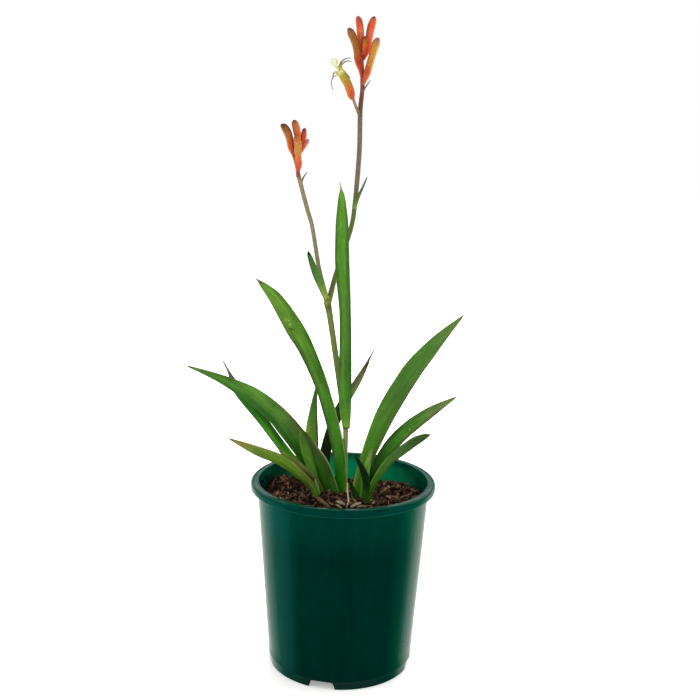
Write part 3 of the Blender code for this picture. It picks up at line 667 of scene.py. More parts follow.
def buildMix():
    rings, steps = mixSettings["rings"], mixSettings["steps"]
    edge = wallRadius(mixSettings["level"]) - potSettings["wall"] - edgeGap
    points, faces = [(0.0, 0.0, mixHeight(0, 0))], []
    for i in range(1, rings + 1):
        for j in range(steps):
            angle = 2 * math.pi * (j + 0.5 * (i % 2)) / steps
            r = edge * i / rings
            x, y = r * math.cos(angle), r * math.sin(angle)
            z = mixHeight(x, y) + 0.9 * noise.fractal(Vector((x / 3, y / 3, 0)), 0.9, 2.1, 4)
            inward = min(1.0, (wallRadius(z) - potSettings["wall"] - edgeGap) / edge)
            points.append((x * inward, y * inward, z))
    low = potSettings["floorTop"] + 0.4
    for r, z in ((wallRadius(14) - 2.2, 14.0), (wallRadius(9) - 5.2, low)):
        for j in range(steps):
            angle = 2 * math.pi * (j + 0.5 * (rings % 2)) / steps
            points.append((r * math.cos(angle), r * math.sin(angle), z))
    points.append((0.0, 0.0, low))
    last = len(points) - 1
    faces += [(0, 1 + j, 1 + (j + 1) % steps) for j in range(steps)]
    faces += [tuple(1 + i for i in face) for face in gridFaces(rings + 2, steps, wrap=True)]
    top = 1 + (rings + 1) * steps
    faces += [(top + j, last, top + (j + 1) % steps) for j in range(steps)]
    faces = [face[::-1] if len(face) == 4 else face for face in faces]
    body = newBody()
    addToBody(body, points, faces)
    mesh = buildPiece("pottingMix", body, compostedBark(), "potting_mix").data
    return mesh


def driedRoot():
    # dry roots and split straw: pale, fibrous and without gloss, so they stand out of the dark bark
    material, tree, shader = startMaterial("driedRoot", {"Roughness": 0.8, "Specular IOR Level": 0.3})
    tint = addNode(tree, "Attribute", {"attribute_name": "tint"})
    place = addNode(tree, "TexCoord").outputs["Object"]
    fibres = addNode(tree, "TexNoise", {"Scale": 1 / 0.0009, "Detail": 4.0, "Roughness": 0.75}, {"Vector": place})
    shade = addNode(tree, "MapRange", {"From Min": 0.35, "From Max": 0.65, "To Min": 0.6, "To Max": 1.25},
                    {"Value": fibres.outputs[0]})  # stains of 0.9 mm
    colour = addNode(tree, "VectorMath", {"operation": "SCALE"}, {0: tint.outputs["Color"], 3: shade.outputs[0]})
    tree.links.new(colour.outputs[0], shader.inputs["Base Color"])
    bump = addNode(tree, "Bump", {"Strength": 0.5, "Distance": 0.0002}, {"Height": fibres.outputs[0]})
    tree.links.new(bump.outputs[0], shader.inputs["Normal"])
    return material


def addChip(body, draw, centre, length, width, thickness, turn, pitch, roll, colour):
    # a splinter: rings of five uneven points, narrower at the ends
    points, grain = [], []
    for place, full in ((-0.5, 0.35), (-0.2, 0.95), (0.2, 1.0), (0.5, 0.4)):
        for j in range(5):
            angle = 2 * math.pi * j / 5 + 0.3
            reach = full * draw.uniform(0.7, 1.25)
            local = (length * (place + draw.uniform(-0.06, 0.06)), width / 2 * reach * math.cos(angle),
                     thickness / 2 * reach * math.sin(angle))
            points.append(local)
            grain.append((local[0] + centre[0], local[1] + centre[1], local[2] + centre[2]))
    spin = (Matrix.Rotation(turn, 4, "Z") @ Matrix.Rotation(pitch, 4, "Y") @ Matrix.Rotation(roll, 4, "X"))
    placed = [Vector(centre) + spin @ Vector(point) for point in points]
    faces = gridFaces(4, 5, wrap=True) + [(4, 3, 2, 1, 0), (15, 16, 17, 18, 19)]
    addToBody(body, placed, faces, tint=[colour] * len(points), grain=grain)


def buildChips():
    draw = random.Random(mixSettings["seed"])
    body = newBody()
    shortest, longest = mixSettings["chipLength"]
    for _ in range(mixSettings["chips"]):
        length = shortest + (longest - shortest) * draw.random() ** 2.6
        reach = wallRadius(mixSettings["level"]) - potSettings["wall"] - edgeGap - length / 2
        r, angle = reach * math.sqrt(draw.random()), draw.uniform(0, 2 * math.pi)
        x, y = r * math.cos(angle), r * math.sin(angle)
        width, thickness = length * draw.uniform(0.14, 0.42), length * draw.uniform(0.07, 0.2)
        z = mixHeight(x, y) + draw.uniform(-0.3, 1.0) * thickness + 0.4
        pale = draw.random() < mixSettings["paleShare"]
        colour = toLinear(draw.choice(mixSettings["paleColours" if pale else "barkColours"]))
        addChip(body, draw, (x, y, z), length, width, thickness, draw.uniform(0, 2 * math.pi),
                draw.gauss(0, 0.45), draw.gauss(0, 0.7), colour)
    buildPiece("barkChips", body, splitBark(), "potting_mix", smooth=False)


def buildRoots():
    draw = random.Random(mixSettings["seed"] + 1)
    body = newBody()
    shortest, longest = mixSettings["fibreLength"]
    for _ in range(mixSettings["fibres"]):
        length = draw.uniform(shortest, longest)
        r, angle = (59.0 - length / 2) * math.sqrt(draw.random()), draw.uniform(0, 2 * math.pi)
        heading, bend = draw.uniform(0, 2 * math.pi), draw.uniform(-1.2, 1.2)
        x, y = r * math.cos(angle), r * math.sin(angle)
        waypoints = []
        for step in range(5):
            lift = 0.5 + draw.uniform(-0.6, 1.0)
            waypoints.append((x, y, mixHeight(x, y) + lift, draw.uniform(0.1, 0.22)))
            x += length / 5 * math.cos(heading + bend * step / 4)
            y += length / 5 * math.sin(heading + bend * step / 4)
        route = smoothRoute(waypoints, 12)
        colour = draw.choice(mixSettings["fibreColours"])
        addTube(body, tubeRings(route, 5), paintTube([(0.0, colour), (1.0, colour)], 12, 5))
    for waypoints, colour in mixSettings["pieces"]:
        route = smoothRoute([(x, y, mixHeight(x, y) + 0.7 + radius, radius) for x, y, radius in waypoints], 26)
        for row in route:
            row[3] *= 1 + 0.25 * noise.noise(Vector(row[:3]))
        # painted shade down each piece's left and right sides, as seen from the front
        addTube(body, tubeRings(route, 8), paintTube([(0.0, colour), (1.0, colour)], 26, 8, "#4a3626", "#4a3626"))
    strand = smoothRoute(mixSettings["strand"], 24)
    addTube(body, tubeRings(strand, 8), paintTube([(0.0, "#c4bc98"), (1.0, "#d6c8aa")], 24, 8))
    buildPiece("dryRoots", body, driedRoot(), "potting_mix")


buildMix()
buildChips()
buildRoots()
print("potting mix built")

# Leaves: flat swords, each a closed blade with thin margins and raised parallel veins

leafDefaults = {
    "curl": 0, "twist": 0, "thickness": 1.0, "columns": 28, "spacing": 1.6, "slot": "leaf",
    # colours from the root (0) towards the tip (1), then the burnt tip
    "tones": [(0.0, "#3d7a1e"), (0.5, "#46802a"), (0.9, "#5c8a38")], "tip": "#4a3428", "tipStart": 0.95,
    "edge": "#4a4426",
    # paint over them: (side from -1 to 1, colour, strength) across, then (share, strength) along;
    # the bands are partly painted shade, on sides turned from the light and under other leaves,
    # and painted highlights on lit margins, and partly the leaf's own colour
    "layers": [],
    # how strong the shade of veins and clouds is
    "calm": 1.0,
    # small spots: side and share of the length in mm, radius in mm, colour
    "marks": [],
}
leaves = {
    "leaf_long_left": {
        "route": [(0, 0, 124, 7), (-4.2, 0.6, 167, 9.8), (-15.8, 5.6, 210, 10), (-28.5, 10.7, 240, 12),
                  (-39, 13.8, 258, 14), (-52.4, 18, 277.8, 10.6), (-60.8, 19.9, 286.8, 6.2), (-69, 22, 294, 1)],
        "curl": 14, "twist": 14,
        "tones": [(0.0, "#127f10"), (0.12, "#1f8512"), (0.22, "#3c8417"), (0.35, "#44821c"), (0.6, "#4c7e22"),
                  (0.8, "#648f2c"), (0.92, "#64902f")],
        "layers": [
            ([(-1.0, "#3a421c", 0.95), (-0.72, "#3f521e", 0.7), (-0.3, "#3f521e", 0.0)],
             [(0.1, 0.0), (0.28, 1.0), (0.7, 0.8), (0.9, 0.3)]),
            ([(0.3, "#2f5c18", 0.0), (0.75, "#2f5c18", 0.55), (1.0, "#2f5c18", 0.6)], [(0.45, 0.0), (0.55, 1.0)]),
            ([(0.0, "#64800c", 0.0), (0.5, "#64800c", 0.75)], [(0.0, 0.3), (0.08, 1.0), (0.17, 0.3), (0.22, 0.0)]),
            ([(0.8, "#b9c66c", 0.0), (0.93, "#b9c66c", 0.9)], [(0.0, 0.4), (0.08, 1.0), (0.42, 0.9), (0.5, 0.0)]),
        ],
        "marks": [(-2.6, 151.0, 1.7, "#86a056"), (-0.6, 149.5, 1.1, "#9cae74"), (-1.6, 146.5, 1.3, "#93a868"),
                  (-2.2, 142.5, 1.2, "#27340f"), (-3.6, 144.0, 0.8, "#2f3c16"), (-1.0, 141.0, 0.7, "#3a461c")],
    },
    "leaf_broad_left": {
        "route": [(-5.6, -3, 124, 11.2), (-16.4, -4.1, 152, 15.2), (-27.3, -6, 167.3, 18),
                  (-38.3, -9, 182, 17), (-50.5, -13.8, 198, 15.5), (-66.5, -20.6, 213.5, 13),
                  (-80.5, -28, 223.5, 9.4), (-94, -36, 232, 5.5), (-112, -48, 242, 1)],
        "curl": 16, "twist": -8,
        "tones": [(0.0, "#36701a"), (0.25, "#386e1c"), (0.42, "#4a7a2a"), (0.62, "#528328"), (0.85, "#40721c"),
                  (0.95, "#5c803a")],
        "layers": [
            # painted shade: the lower half, which faces down and away from the light, is darker
            ([(-1.0, "#1f5a10", 0.9), (-0.45, "#22600f", 0.85), (0.05, "#28640f", 0.0)],
             [(0.12, 0.5), (0.25, 1.0), (0.6, 0.9), (0.85, 0.45), (1.0, 0.2)]),
            ([(0.2, "#4a5420", 0.0), (0.65, "#525226", 0.6), (1.0, "#46401e", 0.9)],
             [(0.02, 0.0), (0.12, 0.4), (0.25, 1.0), (0.42, 0.9), (0.58, 0.0)]),
            ([(0.86, "#c9d09c", 0.0), (0.96, "#c9d09c", 0.95)], [(0.04, 0.0), (0.08, 1.0), (0.27, 1.0), (0.33, 0.0)]),
        ],
        "marks": [(3.4, 95.0, 0.9, "#2f3c14"), (4.4, 78.0, 0.8, "#3a3f18"), (-1.0, 103.0, 0.7, "#33481a")],
    },
    "leaf_thread_left": {
        "route": [(-15, -1.5, 124, 6), (-28, 1.4, 145, 7.2), (-44.8, 9.1, 163.2, 7.4),
                  (-64.3, 20.7, 185, 7.8), (-76.4, 29, 197.5, 9.2), (-85.6, 35, 206.8, 7.4), (-91.5, 40, 217, 2.2),
                  (-97.5, 45, 226.5, 1.1)],
        "curl": 12, "twist": 12, "tip": "#6a5c62", "tipStart": 0.84,
        "tones": [(0.0, "#4f8a20"), (0.3, "#4f9418"), (0.48, "#418414"), (0.6, "#2f7016"), (0.74, "#1f6416"),
                  (0.82, "#3c5a2c")],
        "layers": [
            ([(-1.0, "#3f4f20", 0.9), (-0.75, "#3a5a1a", 0.4), (-0.5, "#3a5a1a", 0.0)], [(0.2, 1.0), (0.9, 0.8)]),
            # painted shade on its upper side, where leaf_broad_left in front of it shades it
            ([(-0.2, "#12500f", 0.0), (0.3, "#12500f", 0.9), (1.0, "#0f4a10", 0.95)],
             [(0.25, 0.0), (0.42, 0.9), (0.8, 1.0), (0.9, 0.4)]),
        ],
    },
    "leaf_low_left": {
        "route": [(-14, -7.5, 124, 5.5), (-23, -11, 141, 6.5), (-32, -15, 152, 8),
                  (-45, -19, 163.9, 9.3), (-65, -25, 174.1, 7.8), (-84.5, -31, 184.6, 1)],
        "curl": 14, "twist": -16, "slot": "young_leaf", "tip": "#6d4c5c", "tipStart": 0.93,
        "tones": [(0.0, "#7d8a40"), (0.2, "#748c38"), (0.4, "#6a962a"), (0.75, "#668722"), (0.9, "#7a7632")],
        "layers": [
            ([(-1.0, "#3f5a18", 0.95), (-0.5, "#4a6c1c", 0.6), (0.0, "#4a6c1c", 0.0)], [(0.1, 0.4), (0.3, 1.0), (0.8, 0.6)]),
            ([(0.3, "#7d5c44", 0.0), (0.8, "#86604a", 0.55), (1.0, "#7d5c44", 0.8)], [(0.05, 0.5), (0.2, 1.0), (0.42, 0.6), (0.55, 0.0)]),
            ([(0.4, "#7a8434", 0.0), (0.9, "#7d6a34", 0.8)], [(0.55, 0.0), (0.75, 1.0)]),
        ],
    },
    "leaf_withered_left": {
        "route": [(-13, -6.2, 126, 3.5), (-19, -7.2, 143.6, 4), (-30, -10.5, 156, 4.6),
                  (-40, -14, 165, 3.6), (-48, -18, 171.5, 1)],
        "curl": 40, "twist": 30, "slot": "withered_leaf", "edge": "#5c4234", "tip": "#6a5a30",
        "tones": [(0.0, "#4f5c24"), (0.4, "#5c6430"), (0.75, "#66702c"), (0.95, "#70803a")],
        "layers": [([(-1.0, "#7a5a4a", 0.6), (-0.4, "#7a5a4a", 0.0)], [(0.1, 1.0), (0.8, 0.7)])],
    },
    "leaf_short_left": {
        "route": [(-15, -4.5, 124, 5), (-21, -5, 143.5, 6), (-26.5, -7.2, 163.5, 8),
                  (-29.5, -10, 174, 7), (-33.5, -14, 189.5, 1)],
        "curl": -12, "twist": 10, "tip": "#54401c", "tipStart": 0.94,
        "tones": [(0.0, "#4c8420"), (0.4, "#5a9428"), (0.7, "#5a8c30"), (0.88, "#4c7a28")],
        "layers": [([(0.45, "#274f14", 0.0), (0.95, "#274f14", 0.8)], [(0.2, 0.6), (0.8, 1.0)])],
    },
    "leaf_upright_back": {
        "route": [(-12, 1.5, 124, 6), (-18, 2.4, 143, 7), (-23, 7.1, 161, 8.5), (-25, 14, 178, 9.8),
                  (-24, 22, 196, 5.4), (-22, 30, 213, 1)],
        "curl": 12, "twist": -10,
        "tones": [(0.0, "#2f5a18"), (0.4, "#5c8426"), (0.6, "#6a8c2e"), (0.85, "#46702f")],
        "layers": [
            ([(-1.0, "#c3cc92", 0.9), (-0.8, "#c3cc92", 0.0)], [(0.4, 0.0), (0.5, 1.0), (0.9, 0.6)]),
            ([(0.5, "#2c4f1c", 0.0), (0.9, "#2c4f1c", 0.9)], [(0.3, 0.4), (0.5, 1.0)]),
        ],
    },
    "leaf_dark_back": {
        "route": [(-17, 5.5, 124, 6), (-15, 8, 140, 7.5), (-14, 15.1, 163, 8.5), (-5, 27.6, 190, 8.6),
                  (8.4, 38.5, 211, 6.4), (16, 44.8, 224, 3.4), (18.6, 47, 229.5, 1.7),
                  (24, 51.2, 239.4, 0.9)],
        "curl": -14, "twist": 22, "slot": "dark_leaf", "edge": "#4a3a24", "tip": "#5c4040", "tipStart": 0.9,
        # painted shade: dark low down, where it stands behind leaf_long_left, lighter where it comes out above
        "tones": [(0.0, "#16240c"), (0.35, "#1a2c10"), (0.58, "#26401a"), (0.68, "#5a6a34"), (0.8, "#706848"),
                  (0.86, "#4f3c30")],
        "layers": [([(0.0, "#7a9850", 0.0), (0.8, "#7a9850", 0.8)], [(0.62, 0.0), (0.68, 1.0), (0.8, 0.2)])],
    },
    "leaf_long_right": {
        "route": [(8, -10, 122, 6), (11.2, -9, 144, 7.6), (19, -5.5, 168.3, 11),
                  (31.3, 1.6, 197.3, 14.8), (48.2, 10.6, 225, 15), (60.7, 16.3, 240.3, 12.8),
                  (73.1, 22.5, 253.3, 8.4), (90, 30, 269, 1)],
        "curl": 13, "twist": -14, "edge": "#5f5238", "tip": "#58383a", "tipStart": 0.955,
        "tones": [(0.0, "#4c7a22"), (0.12, "#50861e"), (0.28, "#4a861c"), (0.42, "#4a7c24"), (0.55, "#447028"),
                  (0.78, "#4c7a2c"), (0.9, "#5c7a38")], "calm": 0.5,
        "layers": [
            ([(0.55, "#5f5a3c", 0.0), (1.0, "#6f5c44", 0.75)], [(0.1, 0.3), (0.3, 1.0), (0.9, 0.8)]),
            ([(-1.0, "#7d8a4c", 0.8), (-0.8, "#6a8040", 0.0)], [(0.1, 0.0), (0.16, 1.0), (0.3, 0.8), (0.45, 0.0)]),
            # painted highlight along the upper-left margin near the root
            ([(-1.0, "#94c86a", 0.95), (-0.75, "#84b858", 0.7), (-0.45, "#7db04f", 0.0)],
             [(0.0, 1.0), (0.13, 0.9), (0.22, 0.0)]),
            ([(0.2, "#8a6c50", 0.0), (0.6, "#8a6c50", 0.4), (1.0, "#7d6048", 0.7)], [(0.14, 0.0), (0.19, 1.0), (0.25, 0.0)]),
        ],
        "marks": [(-2.0, 33.0, 1.4, "#a3a86a")],
    },
    "leaf_middle_right": {
        "route": [(16, -11.6, 122, 6), (18, -11.4, 141, 6.5), (28.4, -9.6, 165, 9.6),
                  (42.2, -7.4, 183.3, 11.3), (62.3, -4.7, 199.5, 9.3), (84.2, -2, 212.6, 1)],
        "curl": -15, "twist": 12, "edge": "#4a4426", "tip": "#7d6a60", "tipStart": 0.96,
        "tones": [(0.0, "#162c0d"), (0.24, "#19330e"), (0.36, "#2a5c13"), (0.5, "#3c7c16"), (0.7, "#4c8420"),
                  (0.86, "#66783a")],
        "layers": [
            ([(-1.0, "#28441a", 0.95), (-0.4, "#2c5018", 0.5), (0.1, "#2c5018", 0.0)], [(0.2, 0.6), (0.45, 1.0), (0.75, 0.4)]),
            ([(0.5, "#4f4a2c", 0.0), (1.0, "#5c4c38", 0.85)], [(0.3, 0.5), (0.6, 1.0), (0.9, 1.0)]),
        ],
        "marks": [(1.5, 76.0, 1.3, "#86a058"), (2.4, 70.0, 0.8, "#7a9450")],
    },
    "leaf_low_right": {
        "route": [(17.5, -15, 122, 4.5), (20, -16.6, 141, 4.6), (31.3, -21.6, 164, 6.2),
                  (47.8, -26.4, 181, 7.2), (57, -28.4, 187.6, 5), (63, -30, 190.6, 1)],
        "curl": 16, "twist": -12, "slot": "young_leaf", "tip": "#2c3018", "tipStart": 0.95,
        "tones": [(0.0, "#4f8e1c"), (0.3, "#4c8c20"), (0.5, "#44742a"), (0.75, "#446c2e"), (0.9, "#3c5428")],
        "layers": [
            ([(-1.0, "#8ab03c", 0.9), (-0.6, "#78a830", 0.3), (-0.2, "#78a830", 0.0)], [(0.1, 1.0), (0.45, 0.9), (0.6, 0.0)]),
            ([(0.2, "#2c441c", 0.0), (1.0, "#2a3a1a", 0.85)], [(0.4, 0.2), (0.6, 0.7)]),
        ],
    },
    "leaf_dark_right": {
        "route": [(16, -16.5, 122, 4.6), (17, -19.1, 140, 5.2), (17, -22.2, 151, 6),
                  (13.5, -26, 162.5, 4.4), (8, -30, 174, 1)],
        "curl": 14, "twist": 10, "slot": "dark_leaf", "edge": "#16240c", "tip": "#20140c",
        # painted shade: darker from the middle up, where the leaf stands in shade
        "tones": [(0.0, "#3c7c1c"), (0.25, "#347018"), (0.45, "#1f4c16"), (0.62, "#163614"), (0.9, "#142812")],
        "layers": [([(-1.0, "#3a6a24", 0.6), (-0.6, "#3a6a24", 0.0)], [(0.2, 0.2), (0.6, 1.0), (0.9, 0.2)])],
    },
    "leaf_small_right": {
        "route": [(15, -13.6, 122, 5.2), (15.8, -14, 143, 6.2), (17, -14, 157, 6), (20.9, -13.6, 175, 1)],
        "curl": 20, "twist": 6, "slot": "young_leaf", "edge": "#3c5a20", "tip": "#6a5c3c",
        "tones": [(0.0, "#3f7a1f"), (0.4, "#55952b"), (0.7, "#70a840"), (0.92, "#7d8a4a")],
    },
    "sprout_front": {
        "route": [(13.5, -18, 121, 4.5), (9.8, -21, 138, 5), (4.3, -26, 153, 1)],
        "curl": 18, "slot": "dark_leaf", "edge": "#1a3010", "tip": "#1d1a10",
        "tones": [(0.0, "#2a5a1c"), (0.5, "#225014"), (0.9, "#1a3a12")],
    },
    "stem_leaf": {
        # x, y, z, width, curl: the sheath wraps the stem at its foot and opens upwards
        "route": [(1.4, 1.2, 184, 11, 112), (0.5, 1.0, 197, 10, 55), (-0.2, 0, 212, 10, 20),
                  (-0.4, -3.6, 240, 9.4, 12), (-1.4, -7, 276, 8.8, 12), (-4, -9.5, 309, 10.4, 12),
                  (-4.8, -12, 337, 9.4, 14), (-5.2, -13, 352, 6.6, 14), (-5.6, -13.5, 360.5, 3.8, 12),
                  (-6.0, -13.8, 364, 1.3, 8), (-6.8, -14, 369, 0.7, 4)],
        "thickness": 0.8, "edge": "#3c4a26", "tip": "#54463c", "tipStart": 0.955,
        # the first tone is a narrow painted shadow at the sheath's foot
        "tones": [(0.0, "#4a5020"), (0.01, "#7aa02c"), (0.05, "#5c9422"), (0.12, "#3f8018"), (0.3, "#3c7418"),
                  (0.6, "#4c841c"), (0.8, "#528a20"), (0.93, "#609426")],
        "layers": [
            ([(-1.0, "#2f5220", 0.9), (-0.65, "#34601f", 0.5), (-0.2, "#34601f", 0.0)], [(0.1, 0.2), (0.4, 0.7), (0.8, 1.0)]),
            ([(0.3, "#315c20", 0.0), (0.8, "#2c541f", 0.7), (1.0, "#26481c", 0.95)], [(0.05, 0.5), (0.2, 1.0), (0.9, 0.9)]),
            # painted highlight down the lower leaf, left of its middle
            ([(-0.75, "#64902f", 0.0), (-0.35, "#64902f", 0.45), (0.1, "#64902f", 0.0)], [(0.08, 0.4), (0.2, 1.0), (0.5, 0.4)]),
        ],
    },
    "fork_bract": {
        "route": [(-15, 4.7, 282, 4.4), (-18.6, 1, 291, 5), (-23.2, -2.5, 302, 5.4),
                  (-27.4, -6.5, 314, 3.6), (-29, -8, 319, 1)],
        "curl": 20, "thickness": 0.8, "edge": "#2c3a1c", "tip": "#2b2424", "tipStart": 0.9,
        "tones": [(0.0, "#9aa04a"), (0.12, "#86963c"), (0.35, "#5a8428"), (0.8, "#3c6a2a")],
        "layers": [([(-1.0, "#243a18", 0.9), (-0.4, "#2c4a1c", 0.0)], [(0.1, 0.6), (0.5, 1.0)])],
    },
    "upper_bract": {
        "route": [(3.6, 10, 348, 2.6), (6.3, 9.8, 357, 2.6), (8.9, 9.4, 363, 1.9), (12.6, 8, 372, 0.8)],
        "curl": 30, "thickness": 0.8, "edge": "#4c5834", "tip": "#5c5a54", "tipStart": 0.85,
        "tones": [(0.0, "#6f9a34"), (0.3, "#5a7a38"), (0.7, "#5c644a")],
    },
}
sprouts = [
    {"route": [(-16, -9.8, 124, 3), (-18.6, -12.6, 138.5, 3.2), (-21, -14, 149.5, 1)], "curl": 20},
    {"route": [(-17, -10, 124, 3), (-21.5, -14, 139.5, 3), (-26, -16.5, 148.5, 1)], "curl": 20},
]
sproutLook = {"slot": "young_leaf", "edge": "#5c7a34", "tip": "#8a8a4a",
              "tones": [(0.0, "#6a9a3a"), (0.5, "#5c9a2c"), (0.9, "#7d9a4a")]}


def addBlade(body, leaf):
    waypoints = leaf["route"]
    if len(waypoints[0]) == 4:
        waypoints = [(*point, leaf["curl"]) for point in waypoints]
    length = routeLength(waypoints)
    stations = max(12, int(length / leaf["spacing"]))
    columns = leaf["columns"]
    route = smoothRoute(waypoints, stations)
    seed = waypoints[0][0] * 1.7 + waypoints[-1][0]
    points, sides, alongs, grains = [], [], [], []
    backPoints = []
    for (x, y, z, width, curl), along, share in zip(route, routeTangents(route), np.linspace(0, 1, stations)):
        tangent = Vector(along)
        across = tangent.cross(Vector((0, -1, 0))).normalized()
        across = Matrix.Rotation(math.radians(leaf["twist"] * share), 3, tangent) @ across
        front = across.cross(tangent)
        half = math.radians(curl) or 1e-4
        if share > 0.97:
            width *= 1 - 0.6 * (share - 0.97) / 0.03
        radius = width / 2 / half
        free = min(1.0, max(0.0, (share - 0.25) / 0.3))
        wave = 0.4 * free * noise.noise(Vector((share * length / 22, seed, 0)))
        edge = 1 + 0.018 * noise.noise(Vector((share * length / 9, seed, 5)))
        thick = leaf["thickness"] / 2 * min(1.0, 14 * share) * (1 - 0.55 * share) * min(1.0, 9 * (1 - share))
        for j in range(columns + 1):
            s = 2 * j / columns - 1
            angle = half * s * edge
            offset = across * (radius * math.sin(angle)) - front * (radius * (1 - math.cos(angle)))
            normal = front * math.cos(angle) + across * math.sin(angle)
            middle = Vector((x, y, z)) + offset + front * (wave * (1 - 0.4 * s * s))
            rib = 0.045 * math.cos(s * math.pi * 6) * (1 - s * s) * min(1.0, width / 6)
            deep = thick * (1 - abs(s) ** 2.6) ** 0.6
            points.append(middle + normal * (deep + (rib if deep > 0.1 else 0)))
            backPoints.append(middle - normal * (deep + (rib if deep > 0.1 else 0)))
            sides.append(s)
            alongs.append(share)
            grains.append((s * width / 2, share * length, seed))
    wide = columns + 1
    edgeOf = {i * wide + j for i in range(stations) for j in range(wide)
              if i in (0, stations - 1) or j in (0, columns)}
    # the back shares the front's points all round its outline
    total = len(points)
    backIndex, extra = {}, []
    for k in range(total):
        if k in edgeOf:
            backIndex[k] = k
        else:
            backIndex[k] = total + len(extra)
            extra.append(k)
    for k in edgeOf:
        points[k] = (points[k] + backPoints[k]) / 2
    faces = gridFaces(stations, wide)
    faces += [tuple(backIndex[k] for k in face[::-1]) for face in gridFaces(stations, wide)]
    points += [backPoints[k] for k in extra]
    sides += [sides[k] for k in extra]
    alongs += [alongs[k] for k in extra]
    grains += [(grains[k][0], grains[k][1], seed + 9.0) for k in extra]
    addToBody(body, points, faces, side=sides, along=alongs, grain=grains)


